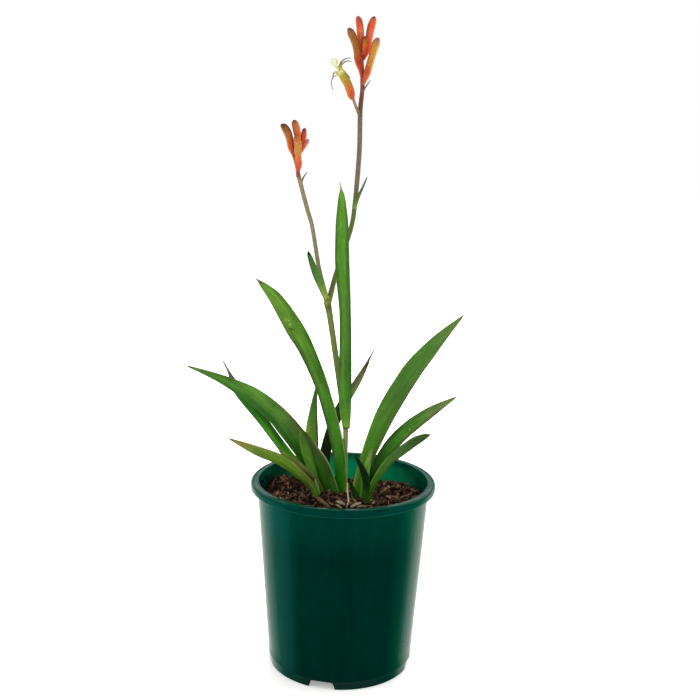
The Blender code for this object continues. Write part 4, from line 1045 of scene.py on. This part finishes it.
def livingLeaf(name, leaf):
    # a tough strap leaf: satin cuticle over parallel veins, with paler streaks between them, darker
    # or paler bands along it, partly painted shade and painted highlights and partly its own colour,
    # brown corky margins and a burnt needle tip
    material, tree, shader = startMaterial("livingLeaf_" + name, {
        "IOR": 1.42, "Roughness": 0.4, "Specular IOR Level": 0.32, "Subsurface Weight": 0.1,
        "Subsurface Radius": (0.5, 1.0, 0.15), "Subsurface Scale": 0.001,
    })
    along = addNode(tree, "Attribute", {"attribute_name": "along"}).outputs["Fac"]
    side = addNode(tree, "Attribute", {"attribute_name": "side"}).outputs["Fac"]
    grain = addNode(tree, "Attribute", {"attribute_name": "grain"}).outputs["Vector"]
    start = leaf["tipStart"]
    tone = addNode(tree, "ValToRGB", {"stops": leaf["tones"] + [(start, leaf["tones"][-1][1]),
                                                                (min(start + 0.03, 0.995), leaf["tip"])]}, {0: along})
    # veins 0.8 mm apart, paler between and unbroken for about 30 mm
    veinScale = addNode(tree, "Mapping", {"Scale": (1 / 0.8, 1 / 30, 1.0)}, {"Vector": grain})
    veins = addNode(tree, "TexNoise", {"Scale": 1.0, "Detail": 2.0, "Roughness": 0.6},
                    {"Vector": veinScale.outputs[0]})
    # growth leaves cloudy darker zones about 3.5 mm wide and 16 mm long, and a fine mottle of 1.2 mm
    cloudScale = addNode(tree, "Mapping", {"Scale": (1 / 3.5, 1 / 16.0, 1.0)}, {"Vector": grain})
    clouds = addNode(tree, "TexNoise", {"Scale": 1.0, "Detail": 3.0}, {"Vector": cloudScale.outputs[0]})
    mottle = addNode(tree, "TexNoise", {"Scale": 1 / 1.2, "Detail": 3.0, "Roughness": 0.7}, {"Vector": grain})
    calm = leaf["calm"]
    streaky = addNode(tree, "MapRange", {"From Min": 0.35, "From Max": 0.7, "To Min": 1 - 0.14 * calm,
                                         "To Max": 1 + 0.24 * calm}, {"Value": veins.outputs[0]})
    cloudy = addNode(tree, "MapRange", {"From Min": 0.35, "From Max": 0.7, "To Min": 1 + 0.16 * calm,
                                        "To Max": 1 - 0.24 * calm}, {"Value": clouds.outputs[0]})
    mottled = addNode(tree, "MapRange", {"From Min": 0.3, "From Max": 0.7, "To Min": 0.84, "To Max": 1.16},
                      {"Value": mottle.outputs[0]})
    shade = addNode(tree, "Math", {"operation": "MULTIPLY"}, {0: streaky.outputs[0], 1: cloudy.outputs[0]})
    shade = addNode(tree, "Math", {"operation": "MULTIPLY"}, {0: shade.outputs[0], 1: mottled.outputs[0]})
    colour = tone.outputs["Color"]
    place = addNode(tree, "MapRange", {"From Min": -1.0}, {"Value": side})
    # bands along one side of the blade: painted shade, painted highlights and the leaf's own colour
    for across, up in leaf["layers"]:
        band = addNode(tree, "ValToRGB", {"stops": [((s + 1) / 2, *rest) for s, *rest in across]},
                       {0: place.outputs[0]})
        span = addNode(tree, "ValToRGB", {"stops": [(share, "#ffffff", strength) for share, strength in up]},
                       {0: along})
        amount = addNode(tree, "Math", {"operation": "MULTIPLY"}, {0: band.outputs["Alpha"], 1: span.outputs["Alpha"]})
        colour = addNode(tree, "Mix", {"data_type": "RGBA"},
                         {0: amount.outputs[0], 6: colour, 7: band.outputs["Color"]}).outputs[2]
    away = addNode(tree, "Math", {"operation": "ABSOLUTE"}, {0: side})
    rim = addNode(tree, "MapRange", {"interpolation_type": "SMOOTHSTEP", "From Min": 0.88, "From Max": 0.99,
                                     "To Min": 0.0, "To Max": 0.75}, {"Value": away.outputs[0]})
    colour = addNode(tree, "Mix", {"data_type": "RGBA", 7: toLinear(leaf["edge"])},
                     {0: rim.outputs[0], 6: colour}).outputs[2]
    shaded = addNode(tree, "VectorMath", {"operation": "SCALE"}, {0: colour, 3: shade.outputs[0]})
    colour = shaded.outputs[0]
    flat = addNode(tree, "VectorMath", {"operation": "MULTIPLY", 1: (1.0, 1.0, 0.0)}, {0: grain})
    for sideways, up, size, spotColour in leaf["marks"]:
        spot = addNode(tree, "VectorMath", {"operation": "DISTANCE", 1: (sideways, up, 0.0)}, {0: flat.outputs[0]})
        rough = addNode(tree, "Math", {"operation": "MULTIPLY", 1: size * 1.2}, {0: mottle.outputs[0]})
        reach = addNode(tree, "Math", {"operation": "ADD"}, {0: spot.outputs["Value"], 1: rough.outputs[0]})
        ring = addNode(tree, "MapRange", {"interpolation_type": "SMOOTHSTEP", "From Min": size * 1.6,
                                          "From Max": size * 0.8, "To Min": 0.0, "To Max": 0.8},
                       {"Value": reach.outputs[0]})
        colour = addNode(tree, "Mix", {"data_type": "RGBA", 7: toLinear(spotColour)},
                         {0: ring.outputs[0], 6: colour}).outputs[2]
    tree.links.new(colour, shader.inputs["Base Color"])
    rough = addNode(tree, "MapRange", {"From Min": 0.3, "From Max": 0.7, "To Min": 0.3, "To Max": 0.48},
                    {"Value": veins.outputs[0]})
    tree.links.new(rough.outputs[0], shader.inputs["Roughness"])
    bump = addNode(tree, "Bump", {"Strength": 0.35, "Distance": 0.0001}, {"Height": veins.outputs[0]})
    tree.links.new(bump.outputs[0], shader.inputs["Normal"])
    return material


def camelName(node):
    words = node.split("_")
    return words[0] + "".join(word.capitalize() for word in words[1:])


def buildLeaves():
    for node, given in leaves.items():
        leaf = {**leafDefaults, **given}
        body = newBody()
        addBlade(body, leaf)
        buildPiece(camelName(node), body, livingLeaf(camelName(node), leaf), node)
    body = newBody()
    look = {**leafDefaults, **sproutLook}
    for sprout in sprouts:
        addBlade(body, {**look, **sprout})
    buildPiece("sproutsLeft", body, livingLeaf("sproutsLeft", look), "sprouts_left")


buildLeaves()
print("leaves built")

# Flower stems, buds and the open flower: tubes with felt on them

stemSettings = {
    # x, y, z, radius
    "scape": [(1.6, 5.6, 123, 2.1), (0.9, 5.2, 160, 2.0), (0.8, 4.0, 184, 1.9), (-2, 5, 202, 2.0),
              (-7.2, 6, 236, 2.25), (-10.6, 7, 257, 2.3), (-12.8, 7.5, 270, 2.4), (-14.8, 8, 280, 2.8)],
    "leftBranch": [(-14.3, 8, 278, 2.3), (-17.8, 6.6, 291, 1.8), (-21.6, 5, 307, 1.55), (-26.4, 1.5, 335, 1.5),
                   (-30.4, 0, 349, 1.6), (-34.2, -2, 363, 1.55), (-36.8, -3.8, 373, 1.5)],
    "rightBranch": [(-13.8, 8, 279, 2.1), (-9.4, 8.6, 298, 1.8), (-4, 10, 316, 1.7), (2, 12, 336, 1.7),
                    (4.2, 13, 354, 1.75), (6.4, 15.6, 389, 1.75), (6.4, 18, 418, 1.75), (7.5, 19.4, 432, 1.6),
                    (7.5, 20.4, 440, 1.6)],
    "bracts": [[(-34.8, -2.3, 366, 0.8), (-33.5, -1.6, 370.4, 0.65), (-30.7, -0.6, 374.6, 0.3)],
               [(7, 18.8, 429.5, 0.8), (9.4, 18, 434.5, 0.6), (13.2, 16.4, 440, 0.3)]],
    "scapeTint": [(0.0, "#6f9c48"), (0.2, "#7ea457"), (0.27, "#8a9a64"), (0.36, "#8a9460"), (0.5, "#6a7a40"), (0.7, "#66783c"),
                  (0.85, "#6c7e42"), (0.95, "#6c8036"), (0.975, "#5c5c2c"), (1.0, "#84963a")],
    "leftTint": [(0.0, "#7a9038"), (0.1, "#6f7a44"), (0.35, "#857f5a"), (0.88, "#8a8262"), (0.95, "#a08468"),
                 (1.0, "#9a5c48")],
    "rightTint": [(0.0, "#76883a"), (0.08, "#5f6c34"), (0.35, "#5c7034"), (0.5, "#6a6a44"), (0.58, "#7a6858"),
                  (0.82, "#7a6a58"), (0.88, "#6f5248"), (0.93, "#74483f"), (0.98, "#985044"), (1.0, "#a05040")],
    "bractTint": [(0.0, "#6d6a48"), (1.0, "#7a7a78")],
    # painted shade down the stalks' left and right sides, as seen from the front
    "sideShadeTint": "#53492f",
    "sides": 20,
    "hairsPerSquare": 1.6,
    "hairLength": 0.55,
}


def addHairs(body, rings, tints, perSquare, length, draw, paler=1.25):
    # felt: short tapering hairs, four faces each, rooted in the surface and leaning to the tip
    count, sides = rings.shape[:2]
    for i in range(count - 1):
        centre = (rings[i].mean(axis=0) + rings[i + 1].mean(axis=0)) / 2
        forward = rings[i + 1].mean(axis=0) - rings[i].mean(axis=0)
        forward = forward / max(np.linalg.norm(forward), 1e-6)
        for j in range(sides):
            a, b = rings[i][j], rings[i][(j + 1) % sides]
            c = rings[i + 1][j]
            area = np.linalg.norm(np.cross(b - a, c - a))
            hairs = int(area * perSquare + draw.random())
            for _ in range(hairs):
                root = a + (b - a) * draw.random() + (c - a) * draw.random()
                out = root - centre
                out = out - forward * (out @ forward)
                out = out / max(np.linalg.norm(out), 1e-6)
                around = np.cross(forward, out)
                lean = forward * draw.uniform(0.0, 0.9) + around * draw.uniform(-0.5, 0.5)
                tip = root + (out + lean) * length * draw.uniform(0.5, 1.1)
                foot = root - out * 0.08
                thick = 0.045
                points = [foot + around * thick, foot - around * thick * 0.5 + forward * thick * 0.87,
                          foot - around * thick * 0.5 - forward * thick * 0.87, tip]
                shade = tints[i][j] * paler * draw.uniform(0.75, 1.3)
                shade[3] = 1.0
                addToBody(body, points, [(0, 1, 3), (1, 2, 3), (2, 0, 3), (0, 2, 1)], tint=[shade] * 4)


def feltedStem():
    # a woolly stalk: matte, with a pale nap that catches light at the edges
    material, tree, shader = startMaterial("feltedStem", {
        "Roughness": 0.85, "Specular IOR Level": 0.2, "Sheen Weight": 0.25, "Sheen Roughness": 0.4,
    })
    tint = addNode(tree, "Attribute", {"attribute_name": "tint"})
    place = addNode(tree, "TexCoord").outputs["Object"]
    stretch = addNode(tree, "Mapping", {"Scale": (1 / 0.0005, 1 / 0.0005, 1 / 0.004)}, {"Vector": place})
    lines = addNode(tree, "TexNoise", {"Scale": 1.0, "Detail": 2.0}, {"Vector": stretch.outputs[0]})
    shade = addNode(tree, "MapRange", {"From Min": 0.3, "From Max": 0.7, "To Min": 0.72, "To Max": 1.25},
                    {"Value": lines.outputs[0]})  # ridges 0.5 mm apart run up the stalk
    colour = addNode(tree, "VectorMath", {"operation": "SCALE"}, {0: tint.outputs["Color"], 3: shade.outputs[0]})
    tree.links.new(colour.outputs[0], shader.inputs["Base Color"])
    bump = addNode(tree, "Bump", {"Strength": 0.5, "Distance": 0.0001}, {"Height": lines.outputs[0]})
    tree.links.new(bump.outputs[0], shader.inputs["Normal"])
    return material


def feltedBud(name):
    # bud felt: dense branched hairs, so the colour is deep and soft with a lit nap at the edges
    material, tree, shader = startMaterial(name, {
        "Roughness": 0.8, "Specular IOR Level": 0.25, "Sheen Weight": 0.35, "Sheen Roughness": 0.35,
        "Subsurface Weight": 0.1, "Subsurface Radius": (1.0, 0.3, 0.1), "Subsurface Scale": 0.001,
    })
    tint = addNode(tree, "Attribute", {"attribute_name": "tint"})
    place = addNode(tree, "TexCoord").outputs["Object"]
    tufts = addNode(tree, "TexNoise", {"Scale": 1 / 0.0007, "Detail": 3.0, "Roughness": 0.7}, {"Vector": place})
    shade = addNode(tree, "MapRange", {"From Min": 0.35, "From Max": 0.65, "To Min": 0.58, "To Max": 1.2},
                    {"Value": tufts.outputs[0]})  # tufts of 0.7 mm
    colour = addNode(tree, "VectorMath", {"operation": "SCALE"}, {0: tint.outputs["Color"], 3: shade.outputs[0]})
    tree.links.new(colour.outputs[0], shader.inputs["Base Color"])
    bump = addNode(tree, "Bump", {"Strength": 0.6, "Distance": 0.00015}, {"Height": tufts.outputs[0]})
    tree.links.new(bump.outputs[0], shader.inputs["Normal"])
    return material


def buildStems(material):
    draw = random.Random(11)
    body, hairs = newBody(), newBody()
    edge = stemSettings["sideShadeTint"]
    for key, tintKey in (("scape", "scapeTint"), ("leftBranch", "leftTint"), ("rightBranch", "rightTint")):
        length = routeLength(stemSettings[key])
        route = smoothRoute(stemSettings[key], int(length / 1.2))
        # painted shade down the stalk's sides as seen from the front
        tints = paintTube(stemSettings[tintKey], len(route), stemSettings["sides"], edge, edge, 0.6)
        rings = tubeRings(route, stemSettings["sides"])
        addTube(body, rings, tints)
        addHairs(hairs, rings, tints, stemSettings["hairsPerSquare"], stemSettings["hairLength"], draw)
    for bract in stemSettings["bracts"]:
        route = smoothRoute(bract, 14)
        addTube(body, tubeRings(route, 10), paintTube(stemSettings["bractTint"], 14, 10))
    buildPiece("flowerStem", body, material, "flower_stem")
    buildPiece("flowerStemHairs", hairs, material, "flower_stem", smooth=False)


stemFelt = feltedStem()
buildStems(stemFelt)
print("stems built")

# each bud's left and right colours go down its sides as seen from the front: painted shade where they are darker,
# painted highlights where they are paler, with some of the felt's own colour
headSettings = {
    "flower_head_left": {
        "stalk": [(-36.7, -3.9, 371.4, 1.5), (-37.2, -4.6, 376.5, 1.4), (-38.3, -5.4, 381, 1.1), (-39.8, -6, 386, 0.9)],
        "stalkTint": [(0.0, "#8f5a48"), (0.4, "#8f3c34"), (1.0, "#a8402c")],
        "buds": [
            {"route": [(-38.5, -4.9, 378.9, 0.7), (-39.2, -5.3, 382.4, 0.8), (-40.1, -5.8, 386, 1.0),
                       (-41.2, -6.5, 389.3, 1.7), (-42, -6.9, 392.4, 2.3), (-42.8, -7.4, 397.2, 2.4),
                       (-43.8, -8, 400.8, 2.6), (-45, -8.4, 403.4, 2.7), (-46.7, -9, 405.9, 2.3),
                       (-49.2, -9.6, 407.6, 0.8)],
             "left": "#a8824c", "right": "#6a2c1c",
             "tint": [(0.0, "#a84434"), (0.3, "#cc4a20"), (0.5, "#cc5420"), (0.7, "#b86024"), (0.85, "#9c6030"),
                      (0.96, "#6a3c2a"), (1.0, "#4a2a28")]},
            {"route": [(-37.5, -4.5, 387.6, 0.9), (-37.2, -3.8, 393, 1.7), (-37.4, -3.2, 398.6, 2.2),
                       (-38.1, -2.6, 402.6, 2.5), (-38.8, -1.9, 405.8, 2.6), (-39.8, -1.2, 408.9, 2.1),
                       (-40.9, -0.6, 411, 0.7)],
             "left": "#7a4424", "right": "#d2704c",
             "tint": [(0.0, "#b03418"), (0.4, "#dc5c2c"), (0.65, "#e07834"), (0.82, "#c8783c"), (0.9, "#8c6238"),
                      (0.97, "#54442f"), (1.0, "#4a3c30")]},
            {"route": [(-36.9, -5.5, 375.2, 1.2), (-36.8, -6.2, 377.6, 2.0), (-36.6, -6.8, 380.4, 2.55),
                       (-36.8, -7.5, 383.6, 2.4), (-36.8, -8.4, 388, 2.15), (-36.8, -9.2, 391.8, 2.45),
                       (-37, -9.8, 395, 2.6), (-37.8, -10.3, 397.6, 2.0), (-39, -11, 400, 0.7)],
             "left": "#c06a34", "right": "#c46e3c",
             "tint": [(0.0, "#a83c38"), (0.12, "#d0503c"), (0.25, "#d65c3c"), (0.4, "#dc7a34"), (0.55, "#d08a34"),
                      (0.7, "#cc9228"), (0.82, "#d08a4c"), (0.93, "#b4702e"), (1.0, "#6a3414")]},
            {"route": [(-36.4, -4.6, 386, 0.8), (-34.8, -3.6, 391.4, 1.4), (-34, -2.2, 396, 1.8),
                       (-33.5, -0.8, 399.8, 2.1), (-33.2, 0.4, 402.7, 1.7), (-32.9, 2, 405.6, 0.5)],
             "left": "#8c2410", "right": "#b88074",
             "tint": [(0.0, "#c04a28"), (0.4, "#f07034"), (0.6, "#e4501e"), (0.8, "#b44c38"), (1.0, "#4a2428")]},
            {"route": [(-36, -5.6, 387, 0.8), (-34, -5.2, 391, 1.3), (-32, -4.8, 394.2, 1.5), (-30.9, -4.4, 396, 1.4),
                       (-29.9, -4, 398.2, 0.5)],
             "left": "#c8482a", "right": "#b89080",
             "tint": [(0.0, "#c8482a"), (0.6, "#e07050"), (0.85, "#b88474"), (1.0, "#84746a")]},
        ],
    },
    "flower_head_top": {
        "stalk": [(7.7, 19.8, 435.6, 1.6), (7.4, 20.6, 441.2, 1.6), (7.2, 21, 445.6, 1.7), (6.9, 21.5, 450, 1.5),
                  (6.7, 22, 456, 1.2)],
        "stalkTint": [(0.0, "#94503f"), (0.25, "#b85a44"), (1.0, "#c4583a")],
        "buds": [
            {"route": [(6.5, 21.5, 454.3, 1.1), (5.9, 21.6, 458.6, 1.8), (5.6, 21.6, 463.6, 2.2),
                       (5.4, 21.7, 469, 2.35), (5, 21.8, 475.2, 2.5), (4.3, 21.9, 480, 2.4), (3.4, 21.9, 483, 1.9),
                       (2.7, 22, 484.6, 0.7)],
             "left": "#cc6650", "right": "#84301c",
             "tint": [(0.0, "#b03c24"), (0.25, "#dc5230"), (0.5, "#e46440"), (0.65, "#f07a4c"), (0.8, "#dc5434"),
                      (0.92, "#c45040"), (1.0, "#a04c42")]},
            {"route": [(7.7, 22, 454.4, 1.0), (9.4, 22.7, 458.4, 1.7), (10.6, 23.3, 462, 2.3), (11.4, 24, 468, 2.4),
                       (12.2, 24.8, 474.4, 2.65), (13.2, 25.3, 479, 2.7), (14.3, 26.1, 482.3, 2.0),
                       (15.1, 27, 485.2, 0.6)],
             "left": "#b83a1c", "right": "#dc7058",
             "tint": [(0.0, "#c44424"), (0.2, "#e05634"), (0.45, "#ec6a40"), (0.6, "#f07448"), (0.75, "#ec5c2c"),
                      (0.88, "#d8643c"), (0.95, "#8c5440"), (1.0, "#50443c")]},
            {"route": [(6.9, 20.2, 442.4, 1.1), (5.9, 19.5, 447.2, 1.6), (4.6, 18.9, 451.6, 2.4),
                       (3.8, 18.3, 455.4, 2.7), (3.1, 17.8, 460.1, 2.5), (1.9, 17.1, 464.8, 2.5),
                       (0.4, 16.5, 468.8, 2.7), (-1.2, 16, 472, 2.7), (-2.6, 15.5, 474.3, 2.1), (-3.7, 15, 475.6, 0.7)],
             "left": "#b07c50", "right": "#7a3410",
             "tint": [(0.0, "#b04c3c"), (0.18, "#cc4424"), (0.32, "#b83410"), (0.46, "#b85c20"), (0.62, "#a4601c"),
                      (0.8, "#a0641f"), (0.92, "#94683a"), (1.0, "#6a5c44")]},
            {"route": [(7.9, 19.6, 437, 1.2), (9, 19, 439.8, 1.6), (10.2, 18.6, 442.9, 2.3), (11.1, 18.1, 446, 2.5),
                       (12.4, 17.6, 451.2, 2.5), (13.7, 17.2, 455.7, 2.5), (15, 16.7, 460.6, 2.7),
                       (16.3, 16.2, 464.8, 2.85), (17.4, 15.7, 467.6, 2.4), (18.5, 15, 469.4, 0.8)],
             "left": "#b4581f", "right": "#d8b878",
             "tint": [(0.0, "#c05c48"), (0.15, "#d4583c"), (0.3, "#c8501c"), (0.42, "#cc7a2c"), (0.6, "#c89038"),
                      (0.78, "#cc8c34"), (0.9, "#bc8448"), (0.96, "#94745a"), (1.0, "#7a684c")]},
            {"route": [(7.2, 20.5, 457.6, 1.0), (7.6, 20.2, 460.8, 1.6), (8, 20, 463.3, 2.0), (8.4, 19.8, 466, 2.3),
                       (8.7, 19.4, 468.6, 2.0), (8.6, 19, 470.8, 0.6)],
             "left": "#a8481c", "right": "#b85c24",
             "tint": [(0.0, "#dc5024"), (0.4, "#ec702c"), (0.7, "#cc7a24"), (0.88, "#a85a1c"), (1.0, "#54301a")]},
        ],
    },
}


def budSection(angle, share):
    # six closed lobes show as faint grooves towards the tip
    return 1 + 0.045 * min(1.0, share * 1.6) * math.cos(6 * angle)


def buildHeads():
    for number, (node, head) in enumerate(headSettings.items()):
        draw = random.Random(21 + number)
        body, hairs = newBody(), newBody()
        route = smoothRoute(head["stalk"], 22)
        # painted shade down the stalk's sides
        tints = paintTube(head["stalkTint"], 22, 20, "#5f3430", "#5f3430", 0.5)
        rings = tubeRings(route, 20)
        addTube(body, rings, tints)
        addHairs(hairs, rings, tints, 2.5, 0.4, draw)
        for bud in head["buds"]:
            length = routeLength(bud["route"])
            route = smoothRoute(bud["route"], int(length / 0.55))
            shares = np.linspace(0, 1, len(route))
            # the tip closes in a blunt dome
            full = np.interp(0.84, shares, route[:, 3])
            dome = full * np.sqrt(np.clip(1 - ((shares - 0.84) / 0.16).clip(0) ** 2, 0.02, 1))
            route[:, 3] = np.where(shares > 0.84, dome, route[:, 3])
            # painted shade and painted highlights down the bud's sides
            tints = paintTube(bud["tint"], len(route), 28, bud["left"], bud["right"], 0.9)
            rings = tubeRings(route, 28, budSection)
            addTube(body, rings, tints)
            addHairs(hairs, rings[:-3], tints, 3.5, 0.4, draw)
        material = feltedBud("feltedBud" + camelName(node)[6:])
        name = camelName(node)
        buildPiece(name, body, material, node)
        buildPiece(name + "Hairs", hairs, material, node, smooth=False)


buildHeads()
print("flower heads built")

flowerSettings = {
    "tube": [(1.2, 11.6, 426.4, 1.1), (0.5, 11, 427.4, 1.9), (-0.2, 10.4, 428.9, 2.6), (-0.9, 9.9, 431.3, 2.85),
             (-2.8, 8.8, 436.4, 2.9), (-5, 7.6, 440.4, 2.95), (-7.2, 6.8, 443.7, 2.9), (-8.7, 6, 445.9, 2.4)],
    "pedicel": [(5.8, 16.4, 415.4, 1.0), (4.9, 15.4, 417.6, 1.15), (3.9, 14.6, 419.8, 1.1), (2.7, 13.8, 422.5, 1.05),
                (1.8, 12.9, 424.9, 1.0), (1, 11.9, 427, 1.0)],
    "lobes": [
        [(-8.4, 6.5, 445.4, 1.3), (-9, 6.2, 448.9, 0.8), (-7.8, 5.9, 451.9, 0.6), (-5.3, 5.6, 453.8, 0.4),
         (-3.1, 5.3, 454.5, 0.3), (-0.7, 5, 454.4, 0.2)],
        [(-7.7, 5.5, 445.4, 1.3), (-8, 5.2, 449.3, 0.9), (-6.5, 4.9, 451, 0.6), (-4.6, 4.6, 452.2, 0.45),
         (-2.4, 4.3, 452.5, 0.35), (-0.3, 4, 452, 0.22)],
        [(-8.9, 5, 443.4, 0.9), (-10.5, 4.6, 442.5, 0.45), (-13, 4.2, 441.4, 0.35), (-14.3, 3.8, 439.2, 0.33),
         (-14.6, 3.4, 436.4, 0.3), (-14, 3, 434, 0.27), (-13, 2.6, 432.2, 0.2)],
        [(-9, 8, 444.4, 1.1), (-7.4, 10.6, 446, 0.7), (-5.6, 12, 444.4, 0.45), (-4.6, 12.4, 442, 0.22)],
        [(-10.6, 7.4, 444.4, 1.1), (-12.4, 9.4, 444.6, 0.7), (-13.6, 10.8, 442.4, 0.45), (-13.6, 11.4, 440, 0.22)],
        [(-7.4, 5.6, 446, 1.0), (-5.9, 5, 445.6, 0.6), (-4.2, 5.1, 444, 0.42), (-2.6, 5.3, 442.4, 0.38),
         (-1.3, 5.5, 440.8, 0.25)],
    ],
    "stamenTips": [(-15.4, 3.4, 451.8), (-14.4, 1.6, 453.4), (-12.6, 4.6, 454), (-14.2, 6.4, 450.4),
                   (-11.2, 7.6, 453.6), (-10.8, 2.6, 452)],
    "stamenRoot": (-9.2, 6, 445),
    "tubeTint": [(0.0, "#a8503c"), (0.1, "#c4543c"), (0.25, "#d8502c"), (0.42, "#d0742c"), (0.6, "#b88c28"),
                 (0.82, "#b0a030"), (0.93, "#ccc65c"), (1.0, "#eceab0")],
    "pedicelTint": [(0.0, "#7a6238"), (0.4, "#9a7c50"), (0.85, "#b08060"), (1.0, "#b85c48")],
    "lobeTint": [(0.0, "#dcd898"), (0.25, "#b49a54"), (0.5, "#8a8468"), (1.0, "#686c6c")],
    "stamenTint": [(0.0, "#dedb98"), (0.75, "#e6e3a8"), (1.0, "#e0d080")],
}


def buildOpenFlower():
    draw = random.Random(31)
    body, hairs = newBody(), newBody()
    route = smoothRoute(flowerSettings["tube"], 60)
    # the tube's sides seen from the front: paler yellow-olive on the left, painted shade on the right
    tints = paintTube(flowerSettings["tubeTint"], 60, 28, "#b09a34", "#9a4a24", 0.6)
    rings = tubeRings(route, 28, budSection)
    addTube(body, rings, tints)
    addHairs(hairs, rings[:52], tints, 3.0, 0.4, draw)
    route = smoothRoute(flowerSettings["pedicel"], 24)
    # painted shade down the pedicel's sides
    tints = paintTube(flowerSettings["pedicelTint"], 24, 16, "#3c2c1c", "#5c4430", 0.8)
    addTube(body, tubeRings(route, 16), tints)
    for lobe in flowerSettings["lobes"]:
        route = smoothRoute(lobe, 24)
        addTube(body, tubeRings(route, 12), paintTube(flowerSettings["lobeTint"], 24, 12))
    root = np.array(flowerSettings["stamenRoot"])
    for tip in flowerSettings["stamenTips"]:
        middle = root * 0.3 + np.array(tip) * 0.7
        route = smoothRoute([(*root, 0.4), (*middle, 0.34), (*tip, 0.6)], 16)
        addTube(body, tubeRings(route, 10), paintTube(flowerSettings["stamenTint"], 16, 10))
    material = feltedBud("flowerFelt")
    buildPiece("openFlower", body, material, "open_flower")
    buildPiece("openFlowerHairs", hairs, material, "open_flower", smooth=False)


buildOpenFlower()
print("open flower built")
